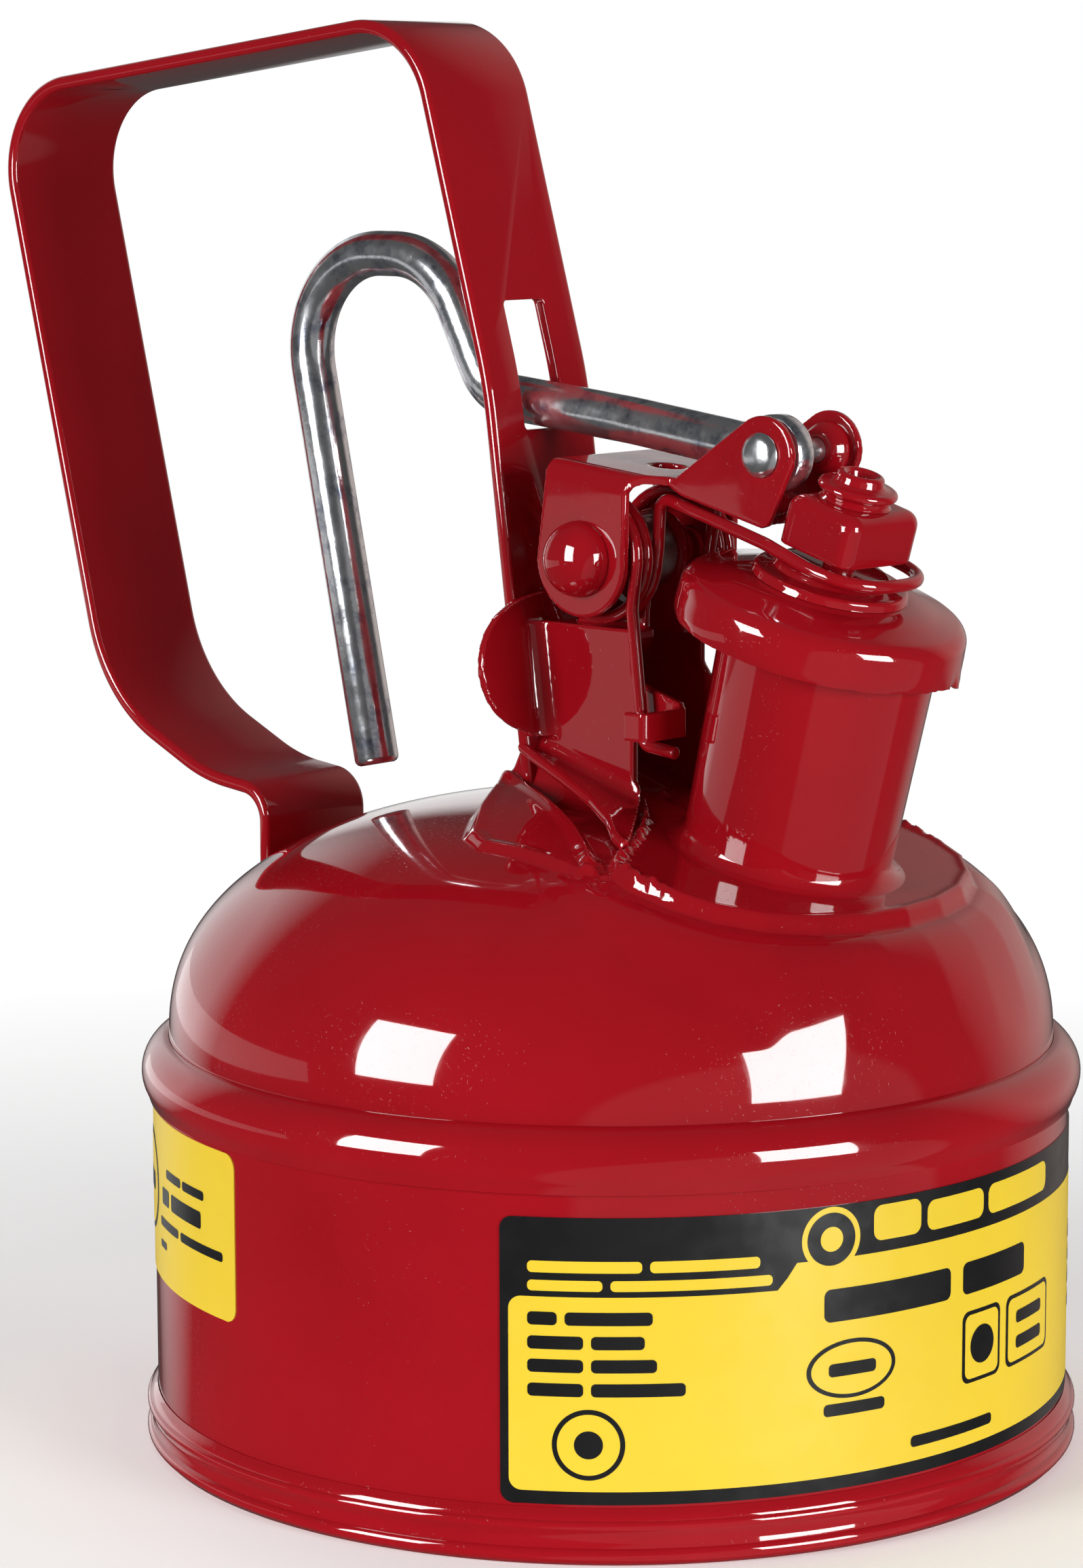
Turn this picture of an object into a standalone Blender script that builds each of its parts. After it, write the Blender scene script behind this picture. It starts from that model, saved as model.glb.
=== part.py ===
"""Small steel safety can: round body, domed top, leaning spout with a sprung self-closing cap,
a cap lever on a bracket, a bent trigger rod and a flat strap handle.

World frame: origin on the floor under the middle of the whole object, +Z up, +X towards the spout,
the can symmetric about the XZ plane. Lengths below are in drawing units measured from the can's own
axis; UNIT turns them into metres and AXIS_X places that axis.
"""
import math

import bmesh
import bpy
from mathutils import Matrix, Vector

UNIT = 0.001061  # metres per drawing unit: a 120.6 unit shoulder bead comes out 128 mm wide
AXIS_X = 0.0232  # metres: the can's axis stands this far in front of the object's middle
GAP = 0.0003 / UNIT  # clearance left between neighbouring pieces
SHEET = 1.1  # thickness of the stamped lever and bracket
ROUND = 40  # facets round the can
SMALL_ROUND = 28  # facets round the spout and cap
WIRE_SIDES = 6

# Can body
WALL_R = 58.8
WALL_T = 0.6
WALL_Z = (1.25, 46.6)
BEAD_R = 60.3
BEAD_Z = 48.0
BEAD_MINOR = 4.6
DOME_R = 56.77
DOME_Z = 52.4
DOME_TOP = 82.3
DOME_T = 0.7
DOME_POWER = (2.5, 2.3)

# Spout: its axis leans forward
SPOUT_TILT = math.radians(13.9)
SPOUT_ORIGIN = (31.97, 0.0, 90.0)
SPOUT_R = 13.24
SPOUT_FLARE = 0.016
SPOUT_T = 0.8
SPOUT_TOP = 16.9
SPOUT_FOOT = -16.0
PAD_RX = 20.5
PAD_RY = 25.0
PAD_TOP = -12.2

# Cap, carried square on its own slightly different tilt
CAP_TILT = math.radians(16.5)
CAP_ORIGIN = (34.65, 0.0, 108.9)
CAP_R = 18.0
CAP_SKIRT = 3.9
CAP_T = 0.8
RIVET_E = 0.7  # the rivet stands this far in front of the cap centre

RIVET_R = 2.1

# Saddle: opposite corners in the cap frame before its foot is trimmed level, and that level
SADDLE = ((-4.6, -6.9, 5.4), (6.6, 6.9, 14.4))
SADDLE_FOOT = 8.0
SADDLE_ROUND = 1.7

# Pivots (x, z) of the lever on the bracket and of the rod on the lever
HINGE = (4.6, 114.0)
CLEVIS = (30.4, 128.0)

# Lever
LEVER_TOP = 126.2  # height of the channel's top face at the can's axis, and its fall forward
LEVER_FALL = 0.105
LEVER_HALF = 11.0
EAR_HALF = 7.0
LOBE_R = 7.35
EAR_R = 4.75
PIN_R = 1.55
HINGE_PIN_R = 2.6

# Bracket
BRACKET_HALF = 7.0
BRACKET_FRONT = 10.0  # x of the side plates' front edge
EAR_IN = 2.85  # inner face of the joggled ears
WING_Z = 99.4  # middle height of the wings, their half height and half width
WING_H = 9.3
WING_Y = 17.3
BEND_R = 2.8
FOOT_Y = 12.2  # half width over the foot flanges
FOOT_REAR_Z = 90.6  # where the plates start to bend outward, at the rear, and its slope forward
FOOT_SLOPE = 0.395

# Spring
WIRE_R = 0.8
COIL_R = 7.58
COIL_Y = (8.8, 5.03)
COIL_TURNS = 2
LOOP_LEVEL = 6.85  # height of the spring's loop above the cap plane
LOOP_E = 1.9  # where the loop starts to turn, in front of the cap centre

# Rod
ROD_R = 2.97
EYE_Y = -3.8  # the eye sits against the near ear
EYE_R = 4.8
EYE_HALF = 1.65
ROD_CORNERS = ((30.4, EYE_Y, 128.0), (4.0, 0.0, 130.6), (-20.4, 0.0, 133.0), (-29.7, 0.0, 150.6),
               (-56.5, 0.0, 150.6), (-41.9, 0.0, 83.3))
ROD_BENDS = (0.0, 7.0, 13.0, 13.0)

# Strap
STRAP_HALF = 9.5
STRAP_T = 1.8
SLOT_HALF = 3.7
SLOT_Z = (128.9, 145.2)
STRAP_CORNERS = ((-5.1, 78.0), (-12.7, 134.5), (-26.1, 181.0), (-106.2, 171.4), (-85.6, 88.6), (-66.0, 79.6),
                 (-54.3, 78.3), (-54.3, 66.0))
STRAP_BENDS = (60.0, 12.2, 12.2, 22.0, 25.0, 4.4)

# Labels: first angle, last angle (degrees from +X), bottom and top heights
LABEL_T = 0.22
FRONT_LABEL = (-61.2, 61.2, 7.4, 41.8)
SIDE_LABEL = (-146.0, -99.0, 22.4, 44.3)


def frame(origin, tilt):
    """Matrix whose Z axis leans forward from vertical by tilt."""
    return Matrix.Translation(Vector(origin)) @ Matrix.Rotation(tilt, 4, "Y")


SPOUT = frame(SPOUT_ORIGIN, SPOUT_TILT)
CAP = frame(CAP_ORIGIN, CAP_TILT)
RIVET = CAP @ Matrix.Translation((RIVET_E, 0.0, 0.0))
FROM_PLAN = Matrix(((1, 0, 0, 0), (0, 0, 1, 0), (0, 1, 0, 0), (0, 0, 0, 1)))  # prism outline (x, y), height z


def along_y(x, z):
    """Matrix whose Z axis is world +Y, with its origin at (x, 0, z)."""
    return Matrix.Translation((x, 0.0, z)) @ Matrix.Rotation(-math.pi / 2, 4, "X")


def material(name, colour, metallic, roughness):
    made = bpy.data.materials.new(name)
    made.use_nodes = True
    shader = made.node_tree.nodes["Principled BSDF"]
    shader.inputs["Base Color"].default_value = (*colour, 1.0)
    shader.inputs["Metallic"].default_value = metallic
    shader.inputs["Roughness"].default_value = roughness
    return made


def build(name, verts, faces, transform=None, smooth=True):
    """One closed mesh object, in metres, facing outward."""
    mesh = bpy.data.meshes.new(name)
    mesh.from_pydata([tuple(v) for v in verts], [], faces)
    if transform is not None:
        mesh.transform(transform)
    mesh.transform(Matrix.Translation((AXIS_X, 0.0, 0.0)) @ Matrix.Scale(UNIT, 4))
    work = bmesh.new()
    work.from_mesh(mesh)
    bmesh.ops.remove_doubles(work, verts=work.verts, dist=1e-7)
    bmesh.ops.recalc_face_normals(work, faces=work.faces)
    work.to_mesh(mesh)
    work.free()
    made = bpy.data.objects.new(name, mesh)
    bpy.context.scene.collection.objects.link(made)
    if smooth:
        mesh.polygons.foreach_set("use_smooth", [True] * len(mesh.polygons))
        mesh.set_sharp_from_angle(angle=math.radians(35))
    return made


def revolve(name, profile, transform=None, sides=SMALL_ROUND, scale_y=1.0):
    """Closed profile of (radius, height) turned about Z; radius 0 closes on the axis."""
    verts = []
    rings = []
    for radius, height in profile:
        if radius == 0:
            rings.append([len(verts)] * sides)
            verts.append((0.0, 0.0, height))
            continue
        rings.append(list(range(len(verts), len(verts) + sides)))
        for k in range(sides):
            a = 2 * math.pi * k / sides
            verts.append((radius * math.cos(a), radius * math.sin(a) * scale_y, height))
    faces = []
    for i, low in enumerate(rings):
        high = rings[(i + 1) % len(rings)]
        if profile[i][0] == 0 and profile[(i + 1) % len(rings)][0] == 0:
            continue
        for k in range(sides):
            n = (k + 1) % sides
            face = list(dict.fromkeys((low[k], low[n], high[n], high[k])))
            if len(face) > 2:
                faces.append(face)
    return build(name, verts, faces, transform)


def prism(name, outline, low, high, transform=None, smooth=True):
    """Outline in the XZ plane, carried from y=low to y=high."""
    count = len(outline)
    verts = [(x, low, z) for x, z in outline] + [(x, high, z) for x, z in outline]
    faces = [list(range(count)), list(range(count, 2 * count))]
    for i in range(count):
        j = (i + 1) % count
        faces.append([i, j, count + j, count + i])
    return build(name, verts, faces, transform, smooth)


def box(name, low, high, transform=None):
    outline = [(low[0], low[2]), (high[0], low[2]), (high[0], high[2]), (low[0], high[2])]
    return prism(name, outline, low[1], high[1], transform, smooth=False)


def loft(name, rings):
    """Closed solid through matching rings of points, capped at both ends."""
    count = len(rings[0])
    faces = [list(range(count)), [count * (len(rings) - 1) + k for k in range(count)]]
    for i in range(len(rings) - 1):
        for k in range(count):
            n = (k + 1) % count
            low = i * count
            faces.append([low + k, low + n, low + count + n, low + count + k])
    return build(name, [point for ring in rings for point in ring], faces)


def arc(centre, radius, start, end, steps):
    """Points on a circle, angles in degrees."""
    points = []
    for k in range(steps + 1):
        a = math.radians(start + (end - start) * k / steps)
        points.append((centre[0] + radius * math.cos(a), centre[1] + radius * math.sin(a)))
    return points


def rounded(points, radii, steps=6):
    """Polyline with each inner corner replaced by an arc of the given radius."""
    points = [Vector(p) for p in points]
    path = [points[0]]
    for i in range(1, len(points) - 1):
        radius = radii[i - 1]
        back = (points[i - 1] - points[i]).normalized()
        ahead = (points[i + 1] - points[i]).normalized()
        turn = math.pi - back.angle(ahead)
        if radius <= 0 or turn < 1e-3:
            path.append(points[i])
            continue
        reach = radius * math.tan(turn / 2)
        centre = points[i] + (back + ahead).normalized() * radius / math.cos(turn / 2)
        first = points[i] + back * reach - centre
        last = points[i] + ahead * reach - centre
        for k in range(steps + 1):
            t = k / steps
            spread = math.sin(turn)
            near, far = math.sin((1 - t) * turn) / spread, math.sin(t * turn) / spread
            path.append(centre + first * near + last * far)
    path.append(points[-1])
    return path


def sweep(name, path, radius, sides=WIRE_SIDES, flatten=None):
    """Round bar along a path. flatten gives (width, depth) factors for each path point."""
    path = [Vector(p) for p in path]
    tangents = []
    for i in range(len(path)):
        ahead = path[min(i + 1, len(path) - 1)] - path[max(i - 1, 0)]
        tangents.append(ahead.normalized())
    side = Vector((0, 1, 0))
    if abs(tangents[0].dot(side)) > 0.9:
        side = Vector((1, 0, 0))
    verts = []
    for i, point in enumerate(path):
        side = (side - tangents[i] * side.dot(tangents[i])).normalized()
        up = tangents[i].cross(side)
        wide, deep = flatten[i] if flatten else (1.0, 1.0)
        for k in range(sides):
            a = 2 * math.pi * k / sides
            verts.append(point + side * radius * wide * math.cos(a) + up * radius * deep * math.sin(a))
    faces = [list(range(sides)), list(range(len(verts) - sides, len(verts)))]
    for i in range(len(path) - 1):
        for k in range(sides):
            n = (k + 1) % sides
            low = i * sides
            faces.append([low + k, low + n, low + sides + n, low + sides + k])
    return build(name, verts, faces)


def combine(target, other, operation):
    """Boolean target with other, and drop other."""
    step = target.modifiers.new(operation, "BOOLEAN")
    step.operation = operation
    step.solver = "EXACT"
    step.object = other
    graph = bpy.context.evaluated_depsgraph_get()
    mesh = bpy.data.meshes.new_from_object(target.evaluated_get(graph))
    target.modifiers.clear()
    old = target.data
    target.data = mesh
    mesh.name = target.name
    bpy.data.meshes.remove(old)
    bpy.data.objects.remove(other)
    work = bmesh.new()
    work.from_mesh(mesh)
    bmesh.ops.remove_doubles(work, verts=work.verts, dist=2e-7)
    bmesh.ops.dissolve_degenerate(work, edges=work.edges, dist=2e-7)
    work.to_mesh(mesh)
    work.free()
    mesh.set_sharp_from_angle(angle=math.radians(35))


def union(target, other):
    combine(target, other, "UNION")


def cut(target, other):
    combine(target, other, "DIFFERENCE")


def keep(target, other):
    combine(target, other, "INTERSECT")


def bore(target, radius, low, high, transform, sides=16):
    """Round hole through target along the transform's Z axis."""
    profile = [(0.0, high), (radius, high), (radius, low), (0.0, low)]
    cut(target, revolve("bore", profile, transform, sides))


def dome_outline(offset, low, steps=10):
    """(radius, height) down the outside of the domed top, offset outward."""
    power_r, power_z = DOME_POWER
    points = [(0.0, DOME_TOP + offset)]
    for k in range(1, steps + 1):
        a = math.pi / 2 * (1 - k / steps) ** 1.15
        radius = DOME_R * math.cos(a) ** (2 / power_r) + offset * math.cos(a)
        height = DOME_Z + (DOME_TOP - DOME_Z) * math.sin(a) ** (2 / power_z) + offset * math.sin(a)
        points.append((radius, height))
    points.append((DOME_R + offset, low))
    return points


def pad_outline(offset, low):
    """Raised flat that the spout stands on, as (radius, height) in the spout frame."""
    top = PAD_TOP + offset
    return [(0.0, top), (PAD_RX - 2.0 + offset, top), (PAD_RX - 0.7 + offset, top - 0.5),
            (PAD_RX + offset, top - 1.8), (PAD_RX + offset, low), (0.0, low)]


def top_solid(name, offset):
    """Solid form of the domed top with its spout pad, grown by offset."""
    profile = dome_outline(offset, 40.0)
    profile.append((0.0, 40.0))
    solid = revolve(name, profile, sides=ROUND)
    pad = revolve("pad", pad_outline(offset, -30.0), SPOUT, 32, PAD_RY / PAD_RX)
    shell = revolve("limit", [(0.0, 90.0), (54.0, 90.0), (54.0, 45.0), (0.0, 45.0)], sides=ROUND)
    keep(pad, shell)
    union(solid, pad)
    return solid


def clear_of_top(target):
    cut(target, top_solid("top_cutter", GAP))


def can_parts():
    outer, inner = WALL_R, WALL_R - WALL_T
    low, high = WALL_Z
    revolve("can_wall", [(outer, high), (outer, low), (inner, low), (inner, high)], sides=ROUND)

    skirt_r = inner - GAP
    top = top_solid("can_top", 0.0)
    trim = revolve("trim", [(90.0, 50.6), (90.0, 30.0), (0.0, 30.0), (0.0, 50.6)], sides=ROUND)
    cut(top, trim)
    skirt = [(DOME_R, 50.7), (DOME_R, 50.1), (skirt_r, 47.4), (skirt_r, 43.5), (skirt_r - DOME_T, 43.5),
             (skirt_r - DOME_T, 47.0), (DOME_R - DOME_T, 49.4), (DOME_R - DOME_T, 50.7)]
    hollow = dome_outline(-DOME_T, 45.0, 7)
    hollow.append((0.0, 45.0))
    cut(top, revolve("hollow", hollow, sides=ROUND))
    union(top, revolve("skirt", skirt, sides=ROUND))
    bore(top, SPOUT_R - 1.6, -34.0, 20.0, SPOUT, SMALL_ROUND)

    bead_c = BEAD_R - BEAD_MINOR
    bead = arc((bead_c, BEAD_Z), BEAD_MINOR, 74, -42, 7)
    bead[0] = (DOME_R + GAP, bead[0][1])
    bead[-1] = (outer + GAP, bead[-1][1])
    bead += [(outer + GAP, high + GAP), (inner, high + GAP), (inner, 47.6), (DOME_R + GAP, 50.3)]
    revolve("shoulder_seam", bead, sides=ROUND)

    foot = [(outer + GAP, 6.3), (59.7, 5.9), (60.1, 5.0), (60.1, 3.7), (59.75, 2.9), (60.05, 2.2),
            (60.1, 1.2), (59.7, 0.3), (59.0, 0.0), (56.9, 0.0), (56.9, 0.9), (outer + GAP, 0.9)]
    revolve("base_seam", foot, sides=ROUND)

    pan = [(0.0, 4.6), (56.6, 4.6), (skirt_r, 5.0), (skirt_r, 1.2), (skirt_r - 0.6, 1.2),
           (skirt_r - 0.6, 4.0), (0.0, 4.0)]
    revolve("can_bottom", pan, sides=ROUND)


def spout_radius(s):
    return SPOUT_R + SPOUT_FLARE * s


def spout_parts():
    top, foot = SPOUT_TOP, SPOUT_FOOT
    profile = [(spout_radius(top), top), (spout_radius(foot), foot), (spout_radius(foot) - SPOUT_T, foot),
               (spout_radius(top) - SPOUT_T, top)]
    neck = revolve("spout_neck", profile, SPOUT)
    clear_of_top(neck)

    inner = spout_radius(top) + GAP
    rim = [(inner, top), (inner, top - 2.6), (inner + 0.4, top - 2.6), (inner + 0.7, top - 1.9),
           (inner + 0.7, top - 0.7), (inner + 0.4, top)]
    revolve("spout_rim", rim, SPOUT)

    base = spout_radius(PAD_TOP) + GAP
    fillet = [(base, PAD_TOP + 2.2), (base + 0.3, PAD_TOP + 1.4), (base + 0.9, PAD_TOP + 0.8),
              (base + 2.0, PAD_TOP + 0.4), (base + 2.0, PAD_TOP - 1.0), (base, PAD_TOP - 1.0)]
    revolve("spout_fillet", fillet, SPOUT)
    clear_of_top(bpy.data.objects["spout_fillet"])

    outer = spout_radius(-9.0) - SPOUT_T - GAP
    lip = spout_radius(top)
    screen = [(lip, top + GAP + 0.35), (lip, top + GAP), (outer, top + GAP), (outer, -9.0), (0.0, -9.0),
              (0.0, -8.5), (outer - 0.5, -8.5), (outer - 0.5, top + GAP + 0.35)]
    revolve("flame_screen", screen, SPOUT)


def cap_parts():
    under = 1.1
    cap = [(0.0, 3.4), (9.9, 3.4), (13.4, 2.9), (15.6, 2.1), (17.0, 1.0), (17.8, -0.7), (CAP_R, -2.4),
           (CAP_R - 0.3, -CAP_SKIRT), (CAP_R - 0.3 - CAP_T, -CAP_SKIRT), (CAP_R - CAP_T, -2.4),
           (CAP_R - CAP_T - 0.2, -0.6), (16.3, 0.6), (15.4, under), (0.0, under)]
    revolve("cap_disc", cap, CAP)
    seal_top = under - GAP
    gasket = [(15.2, seal_top), (15.6, 0.5), (15.9, -0.35), (11.0, -0.35), (11.0, seal_top)]
    revolve("cap_gasket", gasket, CAP)

    base = 3.4 + GAP
    boss = [(0.0, 5.7), (6.4, 5.7), (7.2, 5.4), (7.5, 4.8), (9.1, 4.6), (9.7, 4.2), (9.7, base), (0.0, base)]
    button = revolve("cap_boss", boss, CAP)
    bore(button, RIVET_R + GAP, 4.6, 9.0, RIVET)

    seat = SADDLE[1][2] + GAP
    head = [(1.5, 3.3), (2.1, 3.6), (2.8, 3.5), (3.1, 2.9), (3.3, 2.3), (4.3, 2.1), (4.9, 1.6), (4.8, 0.9),
            (4.2, 0.5), (4.0, 0.0), (RIVET_R, 0.0)]
    rivet = [(radius, seat + rise) for radius, rise in head]
    rivet += [(RIVET_R, 4.6 + GAP), (0.0, 4.6 + GAP), (0.0, 13.0), (1.5, 13.0)]
    revolve("cap_rivet", rivet, RIVET, 20)


def saddle():
    """Open-backed sheet box over the end of the lever; the spring loop hooks round its foot."""
    low, high = SADDLE
    outer = box("spring_saddle", low, high, CAP)
    bevel = outer.modifiers.new("round", "BEVEL")
    bevel.width = SADDLE_ROUND * UNIT
    bevel.segments = 3
    bevel.limit_method = "ANGLE"
    graph = bpy.context.evaluated_depsgraph_get()
    outer.data = bpy.data.meshes.new_from_object(outer.evaluated_get(graph))
    outer.modifiers.clear()
    inside = (low[0] - 3.0, low[1] + SHEET, 4.0), (high[0] - SHEET, high[1] - SHEET, high[2] - SHEET)
    cut(outer, box("inside", *inside, CAP))
    cut(outer, box("foot", (-12.0, -9.0, 4.0), (12.0, 9.0, SADDLE_FOOT), CAP))
    bore(outer, RIVET_R + GAP, 9.0, 20.0, RIVET)
    outer.data.polygons.foreach_set("use_smooth", [True] * len(outer.data.polygons))
    outer.data.set_sharp_from_angle(angle=math.radians(35))


def on_cap(e, n):
    """World (x, z) of a point e along and n above the cap plane."""
    point = CAP @ Vector((e, 0.0, n))
    return point.x, point.z


def lever_top(x):
    """Height of the lever's top face."""
    return LEVER_TOP - LEVER_FALL * x


def lever_channel():
    """Rear of the lever: a U section with rounded bends, trimmed to the side view and the plan view."""
    lift, soft = 1.8, 0.55
    outside = [(-LEVER_HALF, 100.0), (-LEVER_HALF, LEVER_TOP - lift), (soft - LEVER_HALF, LEVER_TOP - soft),
               (lift - LEVER_HALF, LEVER_TOP)]
    level = LEVER_TOP - SHEET
    inside = [(SHEET - LEVER_HALF, 100.0), (SHEET - LEVER_HALF, LEVER_TOP - lift - 0.1),
              (lift + 0.1 - LEVER_HALF, level)]
    section = outside + [(-y, z) for y, z in reversed(outside)]
    section += [(-y, z) for y, z in inside] + inside[::-1]
    body = loft("cap_lever", [[(x, y, z - LEVER_FALL * x) for y, z in section] for x in (-4.0, 16.6)])
    lobe = arc(HINGE, LOBE_R, 184, 352, 12)
    side = [(-1.0, 128.0), (-1.2, 124.6)] + lobe
    side += [(12.1, 122.6), (12.7, lever_top(12.7) - SHEET - 0.4), (16.4, lever_top(16.4) - SHEET - 0.2),
             (16.4, 128.0)]
    keep(body, prism("side", side, -20.0, 20.0))
    edge = [(-6.0, -12.0), (12.4, -12.0), (12.4, -10.4), (15.8, -EAR_HALF), (18.0, -EAR_HALF)]
    plan = edge + [(x, -y) for x, y in reversed(edge)]
    keep(body, prism("plan", plan, 90.0, 140.0, FROM_PLAN))
    bore(body, 2.2, -20.0, 20.0, Matrix.Translation((9.6, 0.0, 125.0)))
    bore(body, HINGE_PIN_R + GAP, -20.0, 20.0, along_y(*HINGE))
    return body


def lever():
    """Channel at the back, web running forward into the saddle, and the two clevis ears."""
    body = lever_channel()
    seat = SADDLE[1][2] - SHEET - GAP
    enter = on_cap(-3.0, seat)
    finish = on_cap(4.8, seat)
    under_enter = on_cap(-3.2, seat - SHEET)
    under_finish = on_cap(4.8, seat - SHEET)
    web = [(15.6, lever_top(15.6)), (17.0, 124.0), (31.0, 120.6), enter, finish, under_finish, under_enter,
           (30.9, 119.5), (17.0, 122.9), (15.6, lever_top(15.6) - SHEET)]
    union(body, prism("web", web, -4.6, 4.6))
    wide = [(15.9, lever_top(15.9) - 0.05), (17.0, 123.95), (31.0, 120.55), (31.2, 119.45), (17.0, 122.95),
            (15.9, lever_top(15.9) - SHEET + 0.05)]
    union(body, prism("web_wide", wide, 0.3 - EAR_HALF, EAR_HALF - 0.3))
    crown = arc(CLEVIS, EAR_R, 128, -14, 9)
    outline = [(15.9, 123.2), (16.4, 124.3)] + crown + [(31.6, 119.3), (30.6, 118.9), (17.6, 122.3)]
    for low in (-EAR_HALF, EAR_HALF - SHEET):
        union(body, prism("ear", outline, low, low + SHEET))
    bore(body, PIN_R + GAP, -20.0, 20.0, along_y(*CLEVIS), 14)
    bore(body, RIVET_R + GAP, 9.0, 20.0, RIVET)


def pins():
    head = EAR_HALF + GAP
    clevis = [(0.0, head + 1.25), (1.5, head + 1.1), (2.5, head + 0.6), (2.8, head), (PIN_R, head),
              (PIN_R, -head), (2.6, -head), (2.4, -head - 0.7), (1.4, -head - 1.1), (0.0, -head - 1.2)]
    revolve("clevis_pin", clevis, along_y(*CLEVIS), 20)
    near = EAR_HALF - SHEET - GAP
    hole = PIN_R + GAP
    collar = [(3.5, near), (3.3, near - 0.8), (2.5, near - 2.2), (hole, near - 2.2), (hole, near)]
    revolve("pin_collar", collar, along_y(*CLEVIS), 18)
    head = LEVER_HALF + GAP
    half = [(0.0, head + 4.1), (1.6, head + 3.8), (3.2, head + 2.9), (4.3, head + 1.6), (4.75, head),
            (HINGE_PIN_R, head)]
    hinge = half + [(radius, -height) for radius, height in reversed(half)]
    revolve("hinge_rivet", hinge, along_y(*HINGE), 24)
    reach = EAR_IN - GAP
    sleeve = [(4.4, reach), (4.4, -reach), (HINGE_PIN_R + GAP, -reach), (HINGE_PIN_R + GAP, reach)]
    revolve("hinge_sleeve", sleeve, along_y(*HINGE), 20)


def strap_line():
    """Centre line of the strap in (x, z), front foot to rear foot."""
    return rounded([(x, 0.0, z) for x, z in STRAP_CORNERS], STRAP_BENDS, 7)


def strap_front(z):
    """x of the strap's front face on its front leg."""
    line = strap_line()
    for a, b in zip(line, line[1:]):
        if a.z <= z <= b.z:
            return a.x + (b.x - a.x) * (z - a.z) / (b.z - a.z) + STRAP_T / 2 * 1.01
    return line[0].x


def strap():
    line = strap_line()
    one, other = [], []
    for i, point in enumerate(line):
        ahead = (line[min(i + 1, len(line) - 1)] - line[max(i - 1, 0)]).normalized()
        normal = Vector((-ahead.z, 0.0, ahead.x)) * STRAP_T / 2
        one.append(((point + normal).x, (point + normal).z))
        other.append(((point - normal).x, (point - normal).z))
    made = prism("carry_strap", one + other[::-1], -STRAP_HALF, STRAP_HALF)
    cut(made, box("slot", (-30.0, -SLOT_HALF, SLOT_Z[0]), (0.0, SLOT_HALF, SLOT_Z[1])))
    clear_of_top(made)


def bracket_plates():
    """Side plates below the coils, joggled inward to the ears that hold the pivot."""
    half, front = BRACKET_HALF, BRACKET_FRONT
    plate = [(-5.4, 105.2), (-5.4, 84.0), (front, 80.0), (front, 91.6), (17.2, 92.2), (17.6, 96.6),
             (11.0, 98.6), (front, 100.0), (front, 105.2)]
    ear = arc(HINGE, 5.4, -20, 200, 10) + [(-2.2, 104.2), (front - 0.8, 104.2)]
    ledge = [(-4.9, 103.9), (front - 0.1, 103.9), (front - 0.1, 105.0), (-4.9, 105.0)]
    body = prism("hinge_bracket", plate, -half, SHEET - half)
    union(body, prism("plate", plate, half - SHEET, half))
    for sign in (-1, 1):
        union(body, prism("ear", ear, *sorted((sign * EAR_IN, sign * (EAR_IN + SHEET)))))
        union(body, prism("ledge", ledge, *sorted((sign * EAR_IN, sign * half))))
    return body


def bracket_wings(steps=12):
    """Round wings lying on the strap's front face, joined across behind the side plates."""
    rings = []
    for k in range(steps + 1):
        a = math.pi * (k + 0.35) / (steps + 0.7)
        z = WING_Z - WING_H * math.cos(a)
        y = WING_Y * math.sin(a) ** 0.7
        x = strap_front(z) + GAP + 0.05
        rings.append([(x, -y, z), (x, y, z), (x + SHEET, y, z), (x + SHEET, -y, z)])
    return loft("wing", rings)


def bracket_bend(sign):
    """Concave bend from a wing into its side plate."""
    half = BRACKET_HALF
    rings = []
    for z in (90.6, 105.2):
        x0 = strap_front(z) + GAP + 0.1
        ring = [(x0, sign * (half + BEND_R), z)]
        for k in range(5):
            a = math.pi / 2 * k / 4
            ahead, aside = BEND_R * (1 - math.cos(a)), BEND_R * (1 - math.sin(a))
            ring.append((x0 + SHEET + ahead, sign * (half + aside), z))
        inner = sign * (half - SHEET)
        rings.append(ring + [(x0 + SHEET + BEND_R, inner, z), (x0, inner, z)])
    return loft("bend", rings)


def bracket_foot(sign):
    """Flange curving out from a side plate on to the dome."""
    half, inner, inset = BRACKET_HALF, BRACKET_HALF - SHEET, FOOT_Y - 1.8
    drop = 2.3
    rings = []
    for x in (-6.0, BRACKET_FRONT):
        top = FOOT_REAR_Z - FOOT_SLOPE * (x + 6.0)
        edge = top - drop
        ring = [(x, sign * inner, top), (x, sign * half, top)]
        for k in range(1, 5):
            a = math.pi / 2 * k / 4
            ring.append((x, sign * (half + (FOOT_Y - half) * (1 - math.cos(a))), top - drop * math.sin(a)))
        rings.append(ring + [(x, sign * FOOT_Y, edge - SHEET), (x, sign * inset, edge - SHEET - 0.2),
                             (x, sign * inset, edge - 9.0), (x, sign * inner, edge - 9.0)])
    return loft("foot", rings)


def bracket_tab(sign):
    """Anchor tab folded out from the spur, with a short return lip."""
    outline = [(16.9, 6.0), (16.9, 13.0), (14.6, 13.0), (14.6, 14.1), (17.5, 14.1), (18.0, 13.6), (18.0, 6.0)]
    return prism("tab", [(x, sign * y) for x, y in outline], 92.4, 96.0, FROM_PLAN)


def bracket():
    body = bracket_plates()
    union(body, bracket_wings())
    for sign in (-1, 1):
        for piece in (bracket_bend, bracket_foot, bracket_tab):
            union(body, piece(sign))
    bore(body, HINGE_PIN_R + GAP, -20.0, 20.0, along_y(*HINGE))
    behind = [(strap_front(z) + GAP - 0.02, z) for z in range(78, 116, 4)] + [(-20.0, 114.0), (-20.0, 78.0)]
    cut(body, prism("strap_side", behind, -30.0, 30.0))
    clear_of_top(body)


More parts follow.
